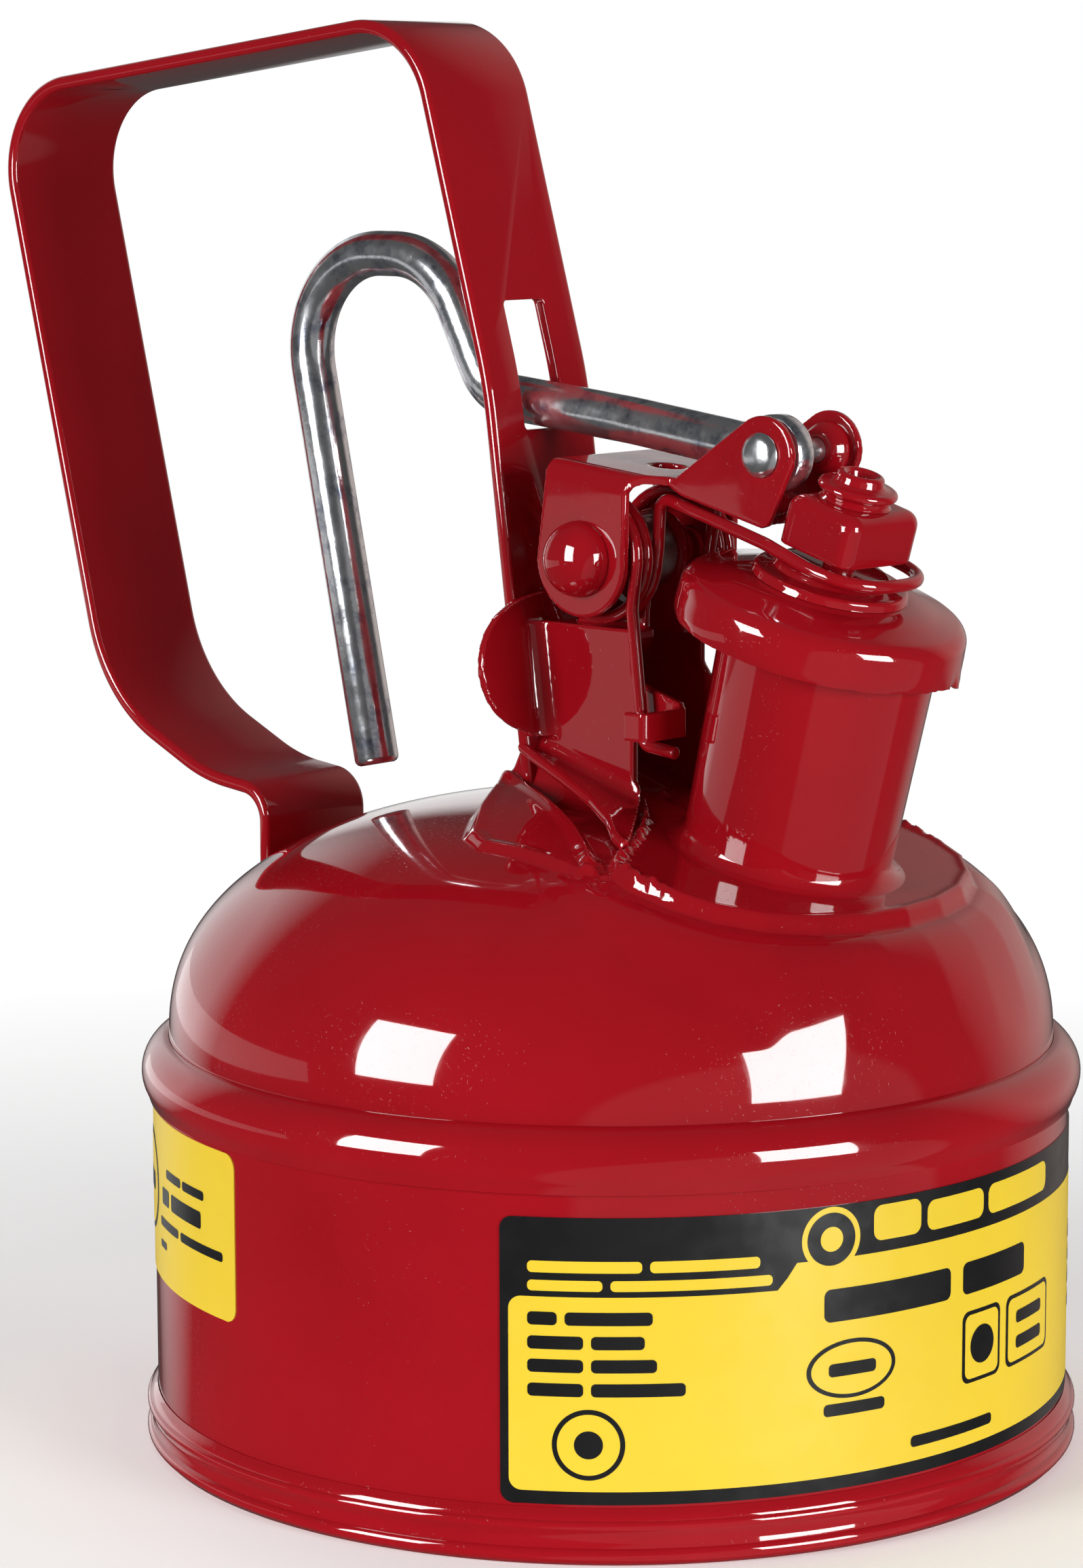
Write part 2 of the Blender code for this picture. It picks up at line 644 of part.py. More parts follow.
def spring():
    """Double torsion spring: anchor foot, coil and forward leg on each side, looped round the saddle."""
    px, pz = HINGE
    start, stop = COIL_Y
    half = rounded([(18.4, -start, 90.7), (13.4, -start, 91.2), (12.7, -start, 97.0), (11.4, -start, 108.0)],
                   [1.4, 20.0], 3)
    steps = COIL_TURNS * 14
    for k in range(1, steps + 1):
        a = 2 * math.pi * COIL_TURNS * k / steps
        y = -start + (start - stop) * k / steps
        half.append(Vector((px + COIL_R * math.cos(a), y, pz + COIL_R * math.sin(a))))
    side = SADDLE[1][1] + GAP + WIRE_R
    level = LOOP_LEVEL
    enter = CAP @ Vector((-5.0, -side, level + 0.6))
    turn = CAP @ Vector((LOOP_E, -side, level))
    half += rounded([(12.4, -stop, 115.4), (13.2, -5.5, 122.0), enter, turn], [1.9, 8.0], 4)
    for k in range(1, 6):
        a = math.radians(18 * k)
        out, back = math.sin(a) ** 0.77, math.cos(a) ** 0.77 if k < 5 else 0.0
        half.append(CAP @ Vector((LOOP_E + side * out, -side * back, level)))
    other = [Vector((p.x, -p.y, p.z)) for p in reversed(half[:-1])]
    sweep("cap_spring", half + other, WIRE_R)


def rod():
    """Trigger rod: flattened eye on the clevis pin, straight through the strap, then up and over."""
    line = rounded(ROD_CORNERS, ROD_BENDS, 6)
    first, second = line[0], line[1]
    line[1:1] = [first.lerp(second, t) for t in (0.09, 0.17, 0.25)]
    line[0] = first.lerp(second, 0.04)
    shapes = [(0.5, 1.25), (0.55, 1.2), (0.72, 1.12)] + [(1.0, 1.0)] * (len(line) - 3)
    made = sweep("trigger_rod", line, ROD_R, 12, shapes)
    front, back = EYE_Y + EYE_HALF, EYE_Y - EYE_HALF
    eye = [(0.0, front), (EYE_R - 0.4, front), (EYE_R, front - 0.4), (EYE_R, back + 0.4),
           (EYE_R - 0.4, back), (0.0, back)]
    union(made, revolve("eye", eye, along_y(*CLEVIS), 20))
    bore(made, PIN_R + GAP, -12.0, 9.0, along_y(*CLEVIS), 14)


def label(name, start, end, low, high):
    """Thin skin wrapped round the wall between two angles in degrees."""
    inner = WALL_R + GAP
    outer = inner + LABEL_T
    steps = max(2, round((end - start) / 7.5))
    rings = []
    for k in range(steps + 1):
        a = math.radians(start + (end - start) * k / steps)
        corners = ((inner, low), (outer, low), (outer, high), (inner, high))
        rings.append([(radius * math.cos(a), radius * math.sin(a), z) for radius, z in corners])
    loft(name, rings)


CAP_ARM = ("cap_lever", "spring_saddle", "cap_rivet", "cap_boss", "cap_disc", "cap_gasket", "clevis_pin",
           "pin_collar")
RED = (0.42, 0.012, 0.016)
ZINC = (0.62, 0.63, 0.64)
FINISHES = {
    "trigger_rod": (ZINC, 1.0, 0.3),
    "clevis_pin": (ZINC, 1.0, 0.25),
    "flame_screen": ((0.45, 0.45, 0.43), 1.0, 0.45),
    "cap_gasket": ((0.02, 0.02, 0.02), 0.0, 0.7),
    "front_label": ((0.85, 0.62, 0.03), 0.0, 0.4),
    "side_label": ((0.85, 0.62, 0.03), 0.0, 0.4),
}


def paint():
    """Give each piece its own material; red enamel unless listed above."""
    for made in bpy.data.objects:
        colour, metallic, roughness = FINISHES.get(made.name, (RED, 0.0, 0.22))
        made.data.materials.clear()
        made.data.materials.append(material(made.name, colour, metallic, roughness))


def set_pivot(names, pivot):
    """Put the origin of each named piece on a joint axis at (x, z)."""
    origin = Vector((pivot[0] * UNIT + AXIS_X, 0.0, pivot[1] * UNIT))
    for name in names:
        made = bpy.data.objects[name]
        made.data.transform(Matrix.Translation(-origin))
        made.location = origin


def main():
    for item in list(bpy.data.objects):
        bpy.data.objects.remove(item)
    can_parts()
    spout_parts()
    cap_parts()
    saddle()
    lever()
    pins()
    strap()
    bracket()
    spring()
    rod()
    label("front_label", *FRONT_LABEL)
    label("side_label", *SIDE_LABEL)
    paint()
    set_pivot(CAP_ARM, HINGE)
    set_pivot(("trigger_rod",), CLEVIS)


main()
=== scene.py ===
"""Looks for a small steel safety can: smooth enamelled sheet metal, zinc rod, printed labels.

Shapes are worked out in drawing units measured from the can's own axis. UNIT turns them into
metres and AXIS_X places that axis; both are read from the CAD shoulder bead. Names ending in
_R are radii and names ending in _T thicknesses.
"""
from math import cos, exp, pi, radians, remainder, sin, tan

import bmesh
import bpy
import numpy as np
from mathutils import Matrix, Vector, noise


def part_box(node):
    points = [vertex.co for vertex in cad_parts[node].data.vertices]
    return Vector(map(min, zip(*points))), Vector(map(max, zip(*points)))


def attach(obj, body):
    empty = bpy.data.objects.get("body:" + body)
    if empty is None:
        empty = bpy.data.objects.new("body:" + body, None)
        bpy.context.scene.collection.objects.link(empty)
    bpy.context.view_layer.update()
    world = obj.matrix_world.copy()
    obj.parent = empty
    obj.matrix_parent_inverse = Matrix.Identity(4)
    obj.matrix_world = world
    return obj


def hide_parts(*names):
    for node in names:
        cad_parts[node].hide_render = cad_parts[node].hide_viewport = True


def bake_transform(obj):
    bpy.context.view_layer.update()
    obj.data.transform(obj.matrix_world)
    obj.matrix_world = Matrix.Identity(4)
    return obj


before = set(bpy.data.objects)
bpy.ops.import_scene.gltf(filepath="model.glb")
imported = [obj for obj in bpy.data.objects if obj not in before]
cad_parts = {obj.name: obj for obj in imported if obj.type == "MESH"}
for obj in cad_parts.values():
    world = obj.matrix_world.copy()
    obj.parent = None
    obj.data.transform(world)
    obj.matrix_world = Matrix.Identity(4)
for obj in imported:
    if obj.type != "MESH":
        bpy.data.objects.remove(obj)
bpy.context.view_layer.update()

BEAD_LOW, BEAD_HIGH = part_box("shoulder_seam")
BEAD_R = 60.3
UNIT = (BEAD_HIGH.x - BEAD_LOW.x) / (2 * BEAD_R)
AXIS_X = (BEAD_HIGH.x + BEAD_LOW.x) / 2
GAP = 0.0003 / UNIT
SHEET = 1.1

# Facets round the can and round the small parts
ROUND = 180
SMALL_ROUND = 96

# Can body
WALL_R = 58.8
WALL_T = 0.6
WALL_Z = (1.25, 46.6)
BEAD_ROLL = 4.6
BEAD_Z = 48.0
DOME_R = 56.77
DOME_Z = 52.4
DOME_TOP = 82.3
DOME_POWER = (2.5, 2.3)

# Spout and cap
SPOUT_TILT = radians(13.9)
SPOUT_ORIGIN = (31.97, 0, 90)
SPOUT_R = 13.24
SPOUT_FLARE = 0.016
SPOUT_T = 0.8
SPOUT_TOP = 16.9
SPOUT_FOOT = -15.0
PAD_TOP = -12.2
CAP_TILT = radians(16.5)
CAP_ORIGIN = (34.65, 0, 108.9)
CAP_R = 18.0
CAP_CROWN = 3.42
CAP_SKIRT = -3.9
BOSS_TOP = 5.7
RIVET_E = 0.7
SADDLE = ((-4.6, -6.9, 5.4), (6.6, 6.9, 14.4))
SADDLE_FOOT = 8.0

# Lever, bracket, spring
HINGE = (4.6, 114)
CLEVIS = (30.4, 128)
LEVER_TOP = 126.2
LEVER_FALL = 0.105
LEVER_HALF = 11.0
EAR_HALF = 7.0
LOBE_R = 7.35
EAR_R = 4.75
PIN_R = 1.55
HINGE_PIN_R = 2.6
BRACKET_HALF = 7.0
BRACKET_BACK = -5.4
BRACKET_FRONT = 10.0
BRACKET_TOP = 105.2
EAR_IN = 2.85
WIRE_R = 0.8
COIL_R = 7.58
COIL_Y = (8.8, 5.03)
COIL_TURNS = 2
LOOP_LEVEL = 6.85
LOOP_E = 1.9
WING_Z = 99.4
WING_H = 9.3
WING_Y = 17.3
BEND_R = 2.8

# Rod and strap
ROD_R = 2.97
EYE_Y = -3.8
EYE_R = 4.8
EYE_HALF = 1.65
ROD_CORNERS = ((30.4, EYE_Y, 128.0), (4, 0, 130.6), (-20.4, 0, 133), (-29.7, 0, 150.6),
               (-56.5, 0, 150.6), (-41.9, 0, 83.3))
ROD_BENDS = (25, 7, 13, 13)
STRAP_CORNERS = ((-5.1, 78), (-12.7, 134.5), (-26.1, 181), (-106.2, 171.4), (-85.6, 88.6), (-66, 79.6),
                 (-54.3, 78.3), (-54.3, 62))
STRAP_BENDS = (60, 12.2, 12.2, 22, 25, 4.4)
STRAP_HALF = 9.5
STRAP_T = 1.8
STRAP_EDGE = 0.78
SLOT_HALF = 3.7
SLOT_Z = (128.9, 145.2)


def tilted(origin, tilt):
    """Matrix whose Z axis leans forward from vertical by tilt."""
    return Matrix.Translation(Vector(origin)) @ Matrix.Rotation(tilt, 4, "Y")


SPOUT = tilted(SPOUT_ORIGIN, SPOUT_TILT)
CAP = tilted(CAP_ORIGIN, CAP_TILT)
RIVET = CAP @ Matrix.Translation((RIVET_E, 0.0, 0.0))
FROM_PLAN = Matrix(((1, 0, 0, 0), (0, 0, 1, 0), (0, 1, 0, 0), (0, 0, 0, 1)))
FROM_FRONT = Matrix(((0, 1, 0, 0), (1, 0, 0, 0), (0, 0, 1, 0), (0, 0, 0, 1)))
TO_FRAME = Matrix.Translation((AXIS_X, 0.0, 0.0)) @ Matrix.Scale(UNIT, 4)


def along_y(x, z):
    """Matrix whose Z axis is world +Y, with its origin at (x, 0, z)."""
    return Matrix.Translation((x, 0.0, z)) @ Matrix.Rotation(-pi / 2, 4, "X")


# Mesh tools


def link(name, data):
    """Object in the scene for a mesh, a light or a camera."""
    made = bpy.data.objects.new(name, data)
    bpy.context.scene.collection.objects.link(made)
    return made


def build(name, verts, faces, transform=None, angle=35):
    """One closed mesh object, in metres, facing outward."""
    mesh = bpy.data.meshes.new(name)
    mesh.from_pydata([tuple(v) for v in verts], [], faces)
    if transform is not None:
        mesh.transform(transform)
    mesh.transform(TO_FRAME)
    work = bmesh.new()
    work.from_mesh(mesh)
    bmesh.ops.remove_doubles(work, verts=work.verts, dist=1e-7)
    bmesh.ops.recalc_face_normals(work, faces=work.faces)
    work.to_mesh(mesh)
    work.free()
    made = link(name, mesh)
    smooth(made, angle)
    return made


def smooth(made, angle=35):
    """Shade smooth, but keep edges sharper than an angle in degrees."""
    mesh = made.data
    mesh.polygons.foreach_set("use_smooth", [True] * len(mesh.polygons))
    mesh.set_sharp_from_angle(angle=radians(angle))


def revolve(name, profile, transform=None, sides=SMALL_ROUND, wobble=None):
    """Closed profile of (radius, height) turned about Z. wobble(i, angle) moves ring i by (dr, dz)."""
    verts = []
    rings = []
    for i, (radius, height) in enumerate(profile):
        if radius == 0:
            rings.append([len(verts)] * sides)
            verts.append((0.0, 0.0, height))
            continue
        rings.append(list(range(len(verts), len(verts) + sides)))
        for k in range(sides):
            a = 2 * pi * k / sides
            out, up = wobble(i, a) if wobble else (0, 0)
            verts.append(((radius + out) * cos(a), (radius + out) * sin(a), height + up))
    faces = []
    for i, low in enumerate(rings):
        high = rings[(i + 1) % len(rings)]
        if profile[i][0] == 0 and profile[(i + 1) % len(rings)][0] == 0:
            continue
        for k in range(sides):
            n = (k + 1) % sides
            face = list(dict.fromkeys((low[k], low[n], high[n], high[k])))
            if len(face) > 2:
                faces.append(face)
    return build(name, verts, faces, transform)


def prism(name, outline, low, high, transform=None):
    """Outline in the XZ plane, carried from y=low to y=high."""
    rings = [[(x, y, z) for x, z in outline] for y in (low, high)]
    return loft(name, rings, transform)


def box(name, low, high, transform=None):
    """Block between two corners."""
    outline = [(low[0], low[2]), (high[0], low[2]), (high[0], high[2]), (low[0], high[2])]
    return prism(name, outline, low[1], high[1], transform)


def loft(name, rings, transform=None):
    """Solid through matching rings of points, capped at both ends."""
    count = len(rings[0])
    faces = [list(range(count)), [count * (len(rings) - 1) + k for k in range(count)]]
    for i in range(len(rings) - 1):
        for k in range(count):
            n = (k + 1) % count
            low = i * count
            faces.append([low + k, low + n, low + count + n, low + count + k])
    return build(name, [point for ring in rings for point in ring], faces, transform)


def arc(centre, radius, start, end, steps):
    """Points on a circle, angles in degrees."""
    points = []
    for k in range(steps + 1):
        a = radians(start + (end - start) * k / steps)
        points.append((centre[0] + radius * cos(a), centre[1] + radius * sin(a)))
    return points


def rounded(points, radii, steps=16):
    """Polyline with each inner corner replaced by an arc of the given radius."""
    points = [Vector(p) for p in points]
    path = [points[0]]
    for i in range(1, len(points) - 1):
        radius = radii[i - 1]
        back = (points[i - 1] - points[i]).normalized()
        ahead = (points[i + 1] - points[i]).normalized()
        turn = pi - back.angle(ahead)
        if radius <= 0 or turn < 1e-3:
            path.append(points[i])
            continue
        reach = radius * tan(turn / 2)
        centre = points[i] + (back + ahead).normalized() * radius / cos(turn / 2)
        first = points[i] + back * reach - centre
        last = points[i] + ahead * reach - centre
        for k in range(steps + 1):
            t = k / steps
            spread = sin(turn)
            near, far = sin((1 - t) * turn) / spread, sin(t * turn) / spread
            path.append(centre + first * near + last * far)
    path.append(points[-1])
    return path


def soft_outline(points, radius, steps=6):
    """Closed (x, z) outline with every corner rounded."""
    loop = [Vector((x, 0.0, z)) for x, z in points]
    middle = (loop[0] + loop[-1]) / 2
    path = rounded([middle] + loop + [middle], [radius] * len(loop), steps)[:-1]
    return [(p.x, p.z) for p in path]


def sweep(name, path, radius, sides, flatten=None):
    """Round bar with soft ends along a path. flatten gives (width, depth) factors for each path point."""
    path = [Vector(p) for p in path]
    scale = list(flatten) if flatten else [(1, 1)] * len(path)
    start = (path[0] - path[1]).normalized()
    stop = (path[-1] - path[-2]).normalized()
    head = [(path[0] + start * radius * 0.3 * sin(a), cos(a)) for a in (1.35, 0.9, 0.45)]
    tail = [(path[-1] + stop * radius * 0.3 * sin(a), cos(a)) for a in (0.45, 0.9, 1.35)]
    path = [p for p, _ in head] + path + [p for p, _ in tail]
    shrink = [(0.7 + 0.3 * s, 0.7 + 0.3 * s) for _, s in head + tail]
    scale = [(a * scale[0][0], b * scale[0][1]) for a, b in shrink[:3]] + scale
    scale += [(a * scale[-1][0], b * scale[-1][1]) for a, b in shrink[3:]]
    side = Vector((0, 1, 0))
    rings = []
    for i, point in enumerate(path):
        ahead = (path[min(i + 1, len(path) - 1)] - path[max(i - 1, 0)]).normalized()
        if i == 0 and abs(ahead.dot(side)) > 0.9:
            side = Vector((1, 0, 0))
        side = (side - ahead * side.dot(ahead)).normalized()
        up = ahead.cross(side)
        wide, deep = scale[i]
        ring = []
        for k in range(sides):
            a = 2 * pi * k / sides
            ring.append(point + side * radius * wide * cos(a) + up * radius * deep * sin(a))
        rings.append(ring)
    return loft(name, rings)


def apply_modifiers(made):
    """Replace an object's mesh with what its modifiers make of it."""
    graph = bpy.context.evaluated_depsgraph_get()
    mesh = bpy.data.meshes.new_from_object(made.evaluated_get(graph))
    made.modifiers.clear()
    old = made.data
    made.data = mesh
    mesh.name = made.name
    bpy.data.meshes.remove(old)


def combine(target, other, operation):
    """Boolean target with other, and drop other."""
    step = target.modifiers.new(operation, "BOOLEAN")
    step.operation = operation
    step.solver = "EXACT"
    step.object = other
    apply_modifiers(target)
    bpy.data.objects.remove(other)
    smooth(target)


def cut(target, other):
    """Take other away from target."""
    combine(target, other, "DIFFERENCE")


def keep(target, other):
    """Keep what target shares with other."""
    combine(target, other, "INTERSECT")


def join(target, others):
    """Add other solids to target's mesh; soften() fuses them."""
    work = bmesh.new()
    work.from_mesh(target.data)
    for other in others:
        work.from_mesh(other.data)
    work.to_mesh(target.data)
    work.free()
    for other in others:
        bpy.data.objects.remove(other)


def round_edges(made, width, segments, angle=30):
    """Round every edge sharper than an angle in degrees."""
    bevel = made.modifiers.new("round", "BEVEL")
    bevel.width = width * UNIT
    bevel.segments = segments
    bevel.limit_method = "ANGLE"
    bevel.angle_limit = radians(angle)
    apply_modifiers(made)


def soften(made, voxel, rounds):
    """Fuse overlapping solids and round every edge, as a thick coat of enamel does."""
    remesh = made.modifiers.new("fuse", "REMESH")
    remesh.mode = "VOXEL"
    remesh.voxel_size = voxel * UNIT
    relax = made.modifiers.new("relax", "SMOOTH")
    relax.factor = 0.5
    relax.iterations = rounds
    apply_modifiers(made)
    smooth(made, 180)


def bore(radius, transform, low=-20.0, high=20.0):
    """Cutter for a round hole along Z of transform."""
    profile = [(0.0, high), (radius, high), (radius, low), (0.0, low)]
    return revolve("bore", profile, transform, 48)


# Materials


def shader_of(name, **inputs):
    """New material, with its node tree and its Principled shader."""
    made = bpy.data.materials.new(name)
    made.use_nodes = True
    tree = made.node_tree
    shader = tree.nodes["Principled BSDF"]
    for key, value in inputs.items():
        shader.inputs[key.replace("_", " ")].default_value = value
    return made, tree, shader


def feed(tree, socket, value):
    """Set an input, or link it when value is another node's output."""
    if isinstance(value, bpy.types.NodeSocket):
        tree.links.new(value, socket)
    else:
        socket.default_value = value


def add_node(tree, kind, **inputs):
    """New shader node; a space in an input's name is written _."""
    node = tree.nodes.new("ShaderNode" + kind)
    for name, value in inputs.items():
        feed(tree, node.inputs[name.replace("_", " ")], value)
    return node


def coordinates(tree, kind="Object"):
    """Texture coordinates."""
    return add_node(tree, "TexCoord").outputs[kind]


def ramp(tree, source, stops):
    """Colour ramp on a value. stops are (position, colour)."""
    node = add_node(tree, "ValToRGB", Fac=source)
    while len(node.color_ramp.elements) < len(stops):
        node.color_ramp.elements.new(0.5)
    for element, (place, colour) in zip(node.color_ramp.elements, stops):
        element.position = place
        element.color = (*colour, 1.0)
    return node.outputs["Color"]


def noise_of(tree, scale, detail=3.0, roughness=0.5):
    """Noise on object coordinates; scale is in features per metre."""
    where = coordinates(tree)
    node = add_node(tree, "TexNoise", Vector=where, Scale=scale, Detail=detail, Roughness=roughness)
    return node.outputs["Fac"]


def set_colour(tree, shader, source, stops):
    """Base colour that follows a value."""
    tree.links.new(ramp(tree, source, stops), shader.inputs["Base Color"])


def set_roughness(tree, shader, source, low, high, first=0.3, last=0.7):
    """Roughness that goes from low to high with a value."""
    tree.links.new(ramp(tree, source, [(first, grey(low)), (last, grey(high))]), shader.inputs["Roughness"])


def add_bump(tree, shader, height, strength, distance, below=None):
    """Bump on the shader's normal, over the bump below if there is one. distance is in metres."""
    bump = add_node(tree, "Bump", Strength=strength, Distance=distance, Height=height)
    if below is not None:
        tree.links.new(below, bump.inputs["Normal"])
    tree.links.new(bump.outputs["Normal"], shader.inputs["Normal"])
    return bump.outputs["Normal"]


def grey(value):
    """Neutral colour."""
    return (value, value, value)


def enamel():
    """Glossy red enamel with faint orange peel and small specks of dust under the gloss."""
    coat = {"Coat_Weight": 1.0, "Coat_IOR": 1.55, "Coat_Roughness": 0.025}
    made, tree, shader = shader_of("red_enamel", IOR=1.25, **coat)
    shades = [(0.3, (0.37, 0.0045, 0.0105)), (0.7, (0.43, 0.006, 0.0135))]
    set_colour(tree, shader, noise_of(tree, 35.0, 4.0), shades)
    set_roughness(tree, shader, noise_of(tree, 120.0, 5.0), 0.055, 0.12, 0.35, 0.75)
    peel = add_bump(tree, shader, noise_of(tree, 190.0, 2.0), 0.10, 0.00035)
    speck = ramp(tree, noise_of(tree, 2600.0, 0.0), [(0.74, grey(0.0)), (0.80, grey(1.0))])
    add_bump(tree, shader, speck, 0.25, 0.00006, peel)
    return made


def bare_metal(name, bright, dark, roughness):
    """Plated or plain metal with dull blotches."""
    made, tree, shader = shader_of(name, Metallic=0.95)
    set_colour(tree, shader, noise_of(tree, 260.0, 8.0, 0.7), [(0.32, dark), (0.5, bright), (0.72, bright)])
    set_roughness(tree, shader, noise_of(tree, 400.0, 6.0, 0.6), roughness, roughness + 0.16, 0.3, 0.8)
    add_bump(tree, shader, noise_of(tree, 900.0, 4.0, 0.6), 0.25, 0.00008)
    return made


def film(name, colour, roughness=0.28):
    """Printed label film."""
    made, tree, shader = shader_of(name)
    pale = tuple(min(1.0, c * 1.04) for c in colour)
    set_colour(tree, shader, noise_of(tree, 60.0), [(0.3, colour), (0.7, pale)])
    set_roughness(tree, shader, noise_of(tree, 300.0), roughness, roughness + 0.08)
    add_bump(tree, shader, noise_of(tree, 150.0, 2.0), 0.06, 0.0003)
    return made


def screen_wire():
    """Fine woven wire on a small grid: a bump, and near-black holes that are painted shade for the dim
    inside seen through them.
    """
    made, tree, shader = shader_of("screen_wire", Metallic=1.0)
    weave = add_node(tree, "TexVoronoi", Vector=coordinates(tree), Scale=1100.0, Randomness=0.0)
    weave.distance = "CHEBYCHEV"
    away = weave.outputs["Distance"]
    # Near-black in the middle of each cell is painted shade: the dim inside of the can seen through the
    # holes.
    set_colour(tree, shader, away, [(0.25, grey(0.03)), (0.45, (0.5, 0.49, 0.45))])
    set_roughness(tree, shader, noise_of(tree, 300.0), 0.35, 0.5)
    add_bump(tree, shader, away, 0.6, 0.0003)
    return made


def rubber():
    """Dull black rubber."""
    made, tree, shader = shader_of("seal_rubber")
    set_colour(tree, shader, noise_of(tree, 220.0, 4.0), [(0.3, grey(0.012)), (0.7, grey(0.03))])
    set_roughness(tree, shader, noise_of(tree, 500.0), 0.55, 0.75)
    add_bump(tree, shader, noise_of(tree, 1200.0), 0.3, 0.0001)
    return made


RED = enamel()
ROD_ZINC = bare_metal("rod_zinc", (0.88, 0.90, 0.93), (0.30, 0.34, 0.46), 0.11)
PIN_ZINC = bare_metal("pin_zinc", (0.80, 0.82, 0.84), (0.52, 0.55, 0.60), 0.14)
PLAIN_STEEL = bare_metal("plain_steel", (0.48, 0.47, 0.45), (0.25, 0.24, 0.23), 0.3)
SCREEN = screen_wire()
SEAL = rubber()
YELLOW = film("label_yellow", (0.95, 0.68, 0.035))
BLACK = film("label_black", (0.010, 0.010, 0.011), 0.22)


def dress(made, node, material):
    """Give a new piece its material and hide the CAD node it stands for."""
    made.data.materials.clear()
    made.data.materials.append(material)
    made.data.polygons.foreach_set("material_index", [0] * len(made.data.polygons))
    if node:
        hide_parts(node)


def place(made, body, node, slot, material):
    """Dress a rigid piece and let it move with its CAD body."""
    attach(made, body)
    dress(made, node, material)


# Can body


def dome_z(radius):
    """Height of the plain dome at each radius."""
    power_r, power_z = DOME_POWER
    reach = np.clip(radius / DOME_R, 0.0, 1.0) ** (power_r / 2)
    return DOME_Z + (DOME_TOP - DOME_Z) * np.sqrt(1 - reach ** 2) ** (2 / power_z)


def ease(value):
    """Smooth step from 0 to 1."""
    value = np.clip(value, 0.0, 1.0)
    return value * value * (3 - 2 * value)


def inside_depth(x, y, corners):
    """Signed distance into a closed outline, positive inside, for arrays of points."""
    best = np.full(x.shape, 1e9)
    inside = np.zeros(x.shape, bool)
    for (ax, ay), (bx, by) in zip(corners, corners[1:] + corners[:1]):
        ex, ey = bx - ax, by - ay
        t = np.clip(((x - ax) * ex + (y - ay) * ey) / (ex * ex + ey * ey), 0, 1)
        best = np.minimum(best, np.hypot(x - ax - t * ex, y - ay - t * ey))
        crosses = (ay > y) != (by > y)
        slope = np.where(np.abs(ey) < 1e-9, 1e-9, ey)
        inside ^= crosses & (x < ax + (y - ay) * ex / slope)
    return np.where(inside, best, -best)


def ripple(x, y, scale):
    """Smooth noise for arrays of points."""
    flat = [noise.noise(Vector((a * scale, b * scale, 3.7))) for a, b in zip(x.ravel(), y.ravel())]
    return np.array(flat).reshape(x.shape)


def plane_z(x):
    """Height of the spout's platform, square to the spout."""
    return SPOUT_ORIGIN[2] + (PAD_TOP - (x - SPOUT_ORIGIN[0]) * sin(SPOUT_TILT)) / cos(SPOUT_TILT)


# Outlines in plan, one side; the other mirrors it
PLATFORM = [(8, -4), (8, 4), (13.5, 9.5), (17.5, 15.5), (20.4, 21), (21.8, 24.4), (23.6, 26),
            (27, 26.6), (33, 26.2), (38.4, 24.2), (42.6, 20.2), (45.8, 14.2), (47.6, 7.4), (48.2, 0),
            (48.2, -4)]
LOBE = [(-11.5, 8), (-10.4, 10.4), (-5, 20), (0.4, 27.2), (4.5, 29.2), (13.5, 28.9), (20.6, 29.2),
        (21.6, 27.4), (19, 24.4), (12.1, 19.6), (4, 14.8), (-4.8, 10)]
FOOT = [(-8.4, 2), (-8.4, 7.4), (10.4, 7.4), (10.4, 2)]
FLANGE_EDGE = ((-7.2, 9.7), (-4, 10.7), (2.5, 12.4), (9, 14.4), (14, 17), (18, 20.2), (20.4, 21.2))

# Embossing of the dome: a lobe's rise at its outer and inner end, and how far its middle sinks again
LOBE_RISE = (0.9, 2.8)
LOBE_DIP = 0.35
# The dome swells towards the platform and stops this far under it
SWELL_REACH = 9.0
PLATFORM_STEP = 1.9
# The platform's raised edge: even part, extra part near the bracket, and the unevenness of its enamel
LIP = (0.18, 0.34, 0.7)
# Enamel pooled at the platform's corner
POOL = (20.8, 25.6)


def flange_z(x):
    """Height of the bracket's foot flange, which slopes forward."""
    return 88.95 - 0.308 * (x + 5.0)


def emboss_lobes(height, x, across):
    """Raise the lobe on each side of the bracket."""
    low, high = LOBE_RISE
    depth = inside_depth(x, across, LOBE)
    rise = low + (high - low) * np.clip((27.5 - across) / 15.0, 0.0, 1.0)
    return height + rise * ease((depth + 0.6) / 1.5) - LOBE_DIP * ease((depth - 0.9) / 1.6)


def emboss_platform(height, x, y):
    """Press the spout's platform into a swell of the dome, with a raised and uneven edge."""
    depth = inside_depth(x, np.abs(y), PLATFORM)
    swell = ease((depth + SWELL_REACH) / SWELL_REACH) * (x > 0)
    height = height + swell * np.maximum(plane_z(x) - PLATFORM_STEP - height, 0.0)
    height = height + ease((depth + 0.5) / 1.0) * (plane_z(x) - height)
    even, near, rough = LIP
    lip = np.exp(-((depth - 0.7) / 0.6) ** 2)
    return height + lip * (even + ease((36 - x) / 9) * (near + rough * ripple(x, y, 1.1)))


def dome_height(x, y):
    """Height of the embossed top at plan positions, with the enamel that pools and fills on it."""
    across = np.abs(y)
    height = emboss_lobes(dome_z(np.hypot(x, y)), x, across)
    height = emboss_platform(height, x, y)
    pool = np.exp(-((x - POOL[0]) ** 2 + (across - POOL[1]) ** 2) / 7.0)
    height = height + pool * (0.25 + 0.9 * ripple(x, y, 0.9))
    fill = np.clip(1.0 + inside_depth(x, across, FOOT) / 5.0, 0.0, 1.0) ** 2.3
    return height + fill * np.maximum(flange_z(x) - 0.9 - height, 0.0)


